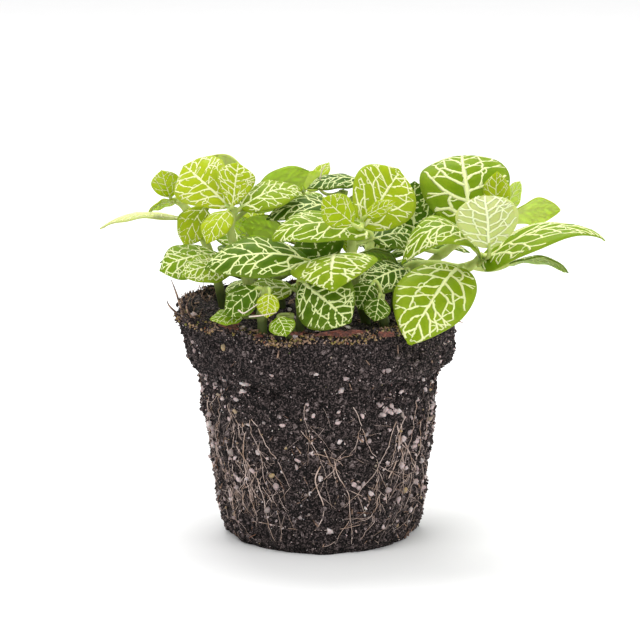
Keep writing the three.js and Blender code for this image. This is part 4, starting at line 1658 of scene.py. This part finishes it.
class AddStems(PlantOperator, bpy.types.Operator):
    """Add the stems and leaf stalks"""

    bl_idname = "plant.add_stems"
    bl_label = "Stems"

    def execute(self, context):
        finish = stem_finish(colours())
        foot, stalk = millimetres(sizes().stem), millimetres(sizes().stalk)
        for name, (stem, leaves) in SHOOTS.items():
            points = stem_points(stem)
            routes = [self.stem_route(points, leaves, foot)]
            for leaf in leaves:
                radius = stalk * min(1, 0.55 + leaf.length / 60)
                routes.append(self.stalk_route(points, leaf, radius))
            add_piece(f"{name}_stems", tubes(routes, 3), [finish])
        return {"FINISHED"}

    def stem_route(self, points, leaves, foot):
        """The stem tapers upwards and swells at each joint."""
        route = smooth_route(points, 12 * (len(points) - 1), [foot, 0.95 * foot, 0.75 * foot])
        steps = len(route) - 1
        swollen = []
        for i, (place, radius) in enumerate(route):
            swell = sum(math.exp(-(((i / steps - leaf.on) * 28) ** 2)) for leaf in leaves)
            swollen.append((place, radius * (1 + 0.28 * min(swell, 1))))
        return swollen

    def stalk_route(self, points, leaf, radius):
        """The stalk bends from the stem to the blade, and runs on under its midrib."""
        root = on_spline(points, leaf.on)
        rib, ways = leaf.midrib(np.array([0, 0.05, 0.12]))
        bend = rib[0] - ways[0] * 0.45 * np.linalg.norm(rib[0] - root)
        route = []
        for step in range(9):
            s = step / 8
            place = (1 - s) ** 2 * root + 2 * s * (1 - s) * bend + s**2 * rib[0]
            route.append((Vector(place), mix(1.15, 0.85, s) * radius))
        sunk = np.cross(leaf.side, ways[1]) * 0.3
        route.append((Vector(rib[1] - sunk), 0.72 * radius))
        route.append((Vector(rib[2] - sunk), 0.45 * radius))
        return route


class AddBlades(PlantOperator, bpy.types.Operator):
    """Add the leaf blades and the veins on both of their sides"""

    bl_idname = "plant.add_blades"
    bl_label = "Blades"

    def execute(self, context):
        own = colours()
        draw = random.Random(VEIN_SEED)
        patterns = self.grow_patterns()
        grids = [self.grid_of(pattern) for pattern in patterns]
        blade_finishes = [leaf_finish(own), underside_finish(own)]
        vein_finishes = [
            vein_finish("vein", own.vein, own.vein_young),
            vein_finish("vein_underside", own.under_bright, own.under_vein),
        ]
        for name, (_, leaves) in SHOOTS.items():
            blades, veins = bmesh.new(), bmesh.new()
            tints = [bm.verts.layers.float_color.new("tint") for bm in (blades, veins)]
            for leaf in leaves:
                small = leaf.length <= LARGE_BLADE
                kind = draw.randrange(VEIN_PATTERNS) + VEIN_PATTERNS * small
                chance = draw.random()
                self.add_blade(blades, tints[0], leaf, grids[kind], chance)
                full_net, main_net = patterns[kind].nets
                self.add_veins(veins, tints[1], leaf, main_net if small else full_net, chance)
                if leaf.ribbed:
                    self.add_veins(veins, tints[1], leaf, main_net, chance, under=True)
            piece = add_piece(f"{name}_blades", blades, blade_finishes, [name])
            self.thicken(piece)
            add_piece(f"{name}_veins", veins, vein_finishes)
        return {"FINISHED"}

    def grow_patterns(self):
        """The patterns of large blades, and after them as many of small ones."""
        section = ridge_section()
        patterns = [VeinPattern(VEIN_SEED + i, section) for i in range(VEIN_PATTERNS)]
        for i in range(1, VEIN_PATTERNS + 1):
            patterns.append(VeinPattern(VEIN_SEED - i, section, SMALL_PAIRS, SMALL_GIRTH))
        bpy.data.curves.remove(section.data)
        return patterns

    def grid_of(self, pattern):
        """Places of a blade's grid, and its swelling between the main veins there."""
        bm = bmesh.new()
        bmesh.ops.create_grid(bm, x_segments=BLADE_LONG, y_segments=BLADE_WIDE, size=1)
        x = np.array([vert.co.x for vert in bm.verts])
        v = -np.array([vert.co.y for vert in bm.verts])
        bm.free()
        # closer rows at the base and the tip
        u = mix((x + 1) / 2, (1 - np.cos(np.pi * (x + 1) / 2)) / 2, 0.6)
        puff = np.array([pattern.puff_at(*place) for place in zip(u, v)])
        return u, v, puff

    @staticmethod
    def swelling(leaf, puff):
        return PUFF * puff * min(1, leaf.width / PUFF_WIDTH)

    def add_blade(self, bm, tint, leaf, grid, chance):
        u, v, puff = grid
        places = leaf.surface(u, v, self.swelling(leaf, puff))
        made = bmesh.ops.create_grid(bm, x_segments=BLADE_LONG, y_segments=BLADE_WIDE, size=1)["verts"]
        for vert, place, swell in zip(made, places, puff):
            vert.co = place
            vert[tint] = (leaf.tone, chance, swell, 1)

    def add_veins(self, bm, tint, leaf, net, chance, under=False):
        """Lays a net on the blade's upper side, or turned over on its under side."""
        u, v, height, puff, faces = net
        rise = height * leaf.length * sizes().vein_height
        lift = self.swelling(leaf, puff) + VEIN_PROUD + rise
        if under:
            lift = self.swelling(leaf, puff) - millimetres(sizes().blade) - VEIN_PROUD - rise
        verts = [bm.verts.new(place) for place in leaf.surface(u, v, lift)]
        for vert in verts:
            vert[tint] = (leaf.tone, chance, 0, 1)
        for face in faces:
            corners = [verts[i] for i in face]
            made = bm.faces.new(corners[::-1] if under else corners)
            made.material_index = int(under)

    def thicken(self, piece):
        wall = piece.modifiers.new("thickness", "SOLIDIFY")
        wall.thickness = sizes().blade
        wall.offset = -1
        wall.material_offset = 1


class PlantPanel(bpy.types.Panel):
    bl_idname = "VIEW3D_PT_nerve_plant"
    bl_label = "Nerve plant"
    bl_space_type = "VIEW_3D"
    bl_region_type = "UI"
    bl_category = "Plant"

    def draw(self, context):
        for operator in OPERATORS:
            self.layout.operator(operator.bl_idname)
        for group in (context.scene.plant_sizes, context.scene.plant_colours):
            box = self.layout.box()
            for name in group.__annotations__:
                box.prop(group, name)


OPERATORS = (SetStage, AddSoil, AddCrumbs, AddPerlite, AddRoots, AddLitter, AddStems, AddBlades)
CLASSES = (PlantSizes, PlantColours, *OPERATORS, PlantPanel)


def register():
    for cls in CLASSES:
        bpy.utils.register_class(cls)
    bpy.types.Scene.plant_sizes = PointerProperty(type=PlantSizes)
    bpy.types.Scene.plant_colours = PointerProperty(type=PlantColours)


def unregister():
    del bpy.types.Scene.plant_colours
    del bpy.types.Scene.plant_sizes
    for cls in reversed(CLASSES):
        bpy.utils.unregister_class(cls)


def main():
    register()
    bpy.ops.plant.set_stage()
    bpy.ops.plant.add_soil()
    bpy.ops.plant.add_crumbs()
    bpy.ops.plant.add_perlite()
    bpy.ops.plant.add_roots()
    bpy.ops.plant.add_litter()
    bpy.ops.plant.add_stems()
    bpy.ops.plant.add_blades()


if __name__ == "__main__":
    main()
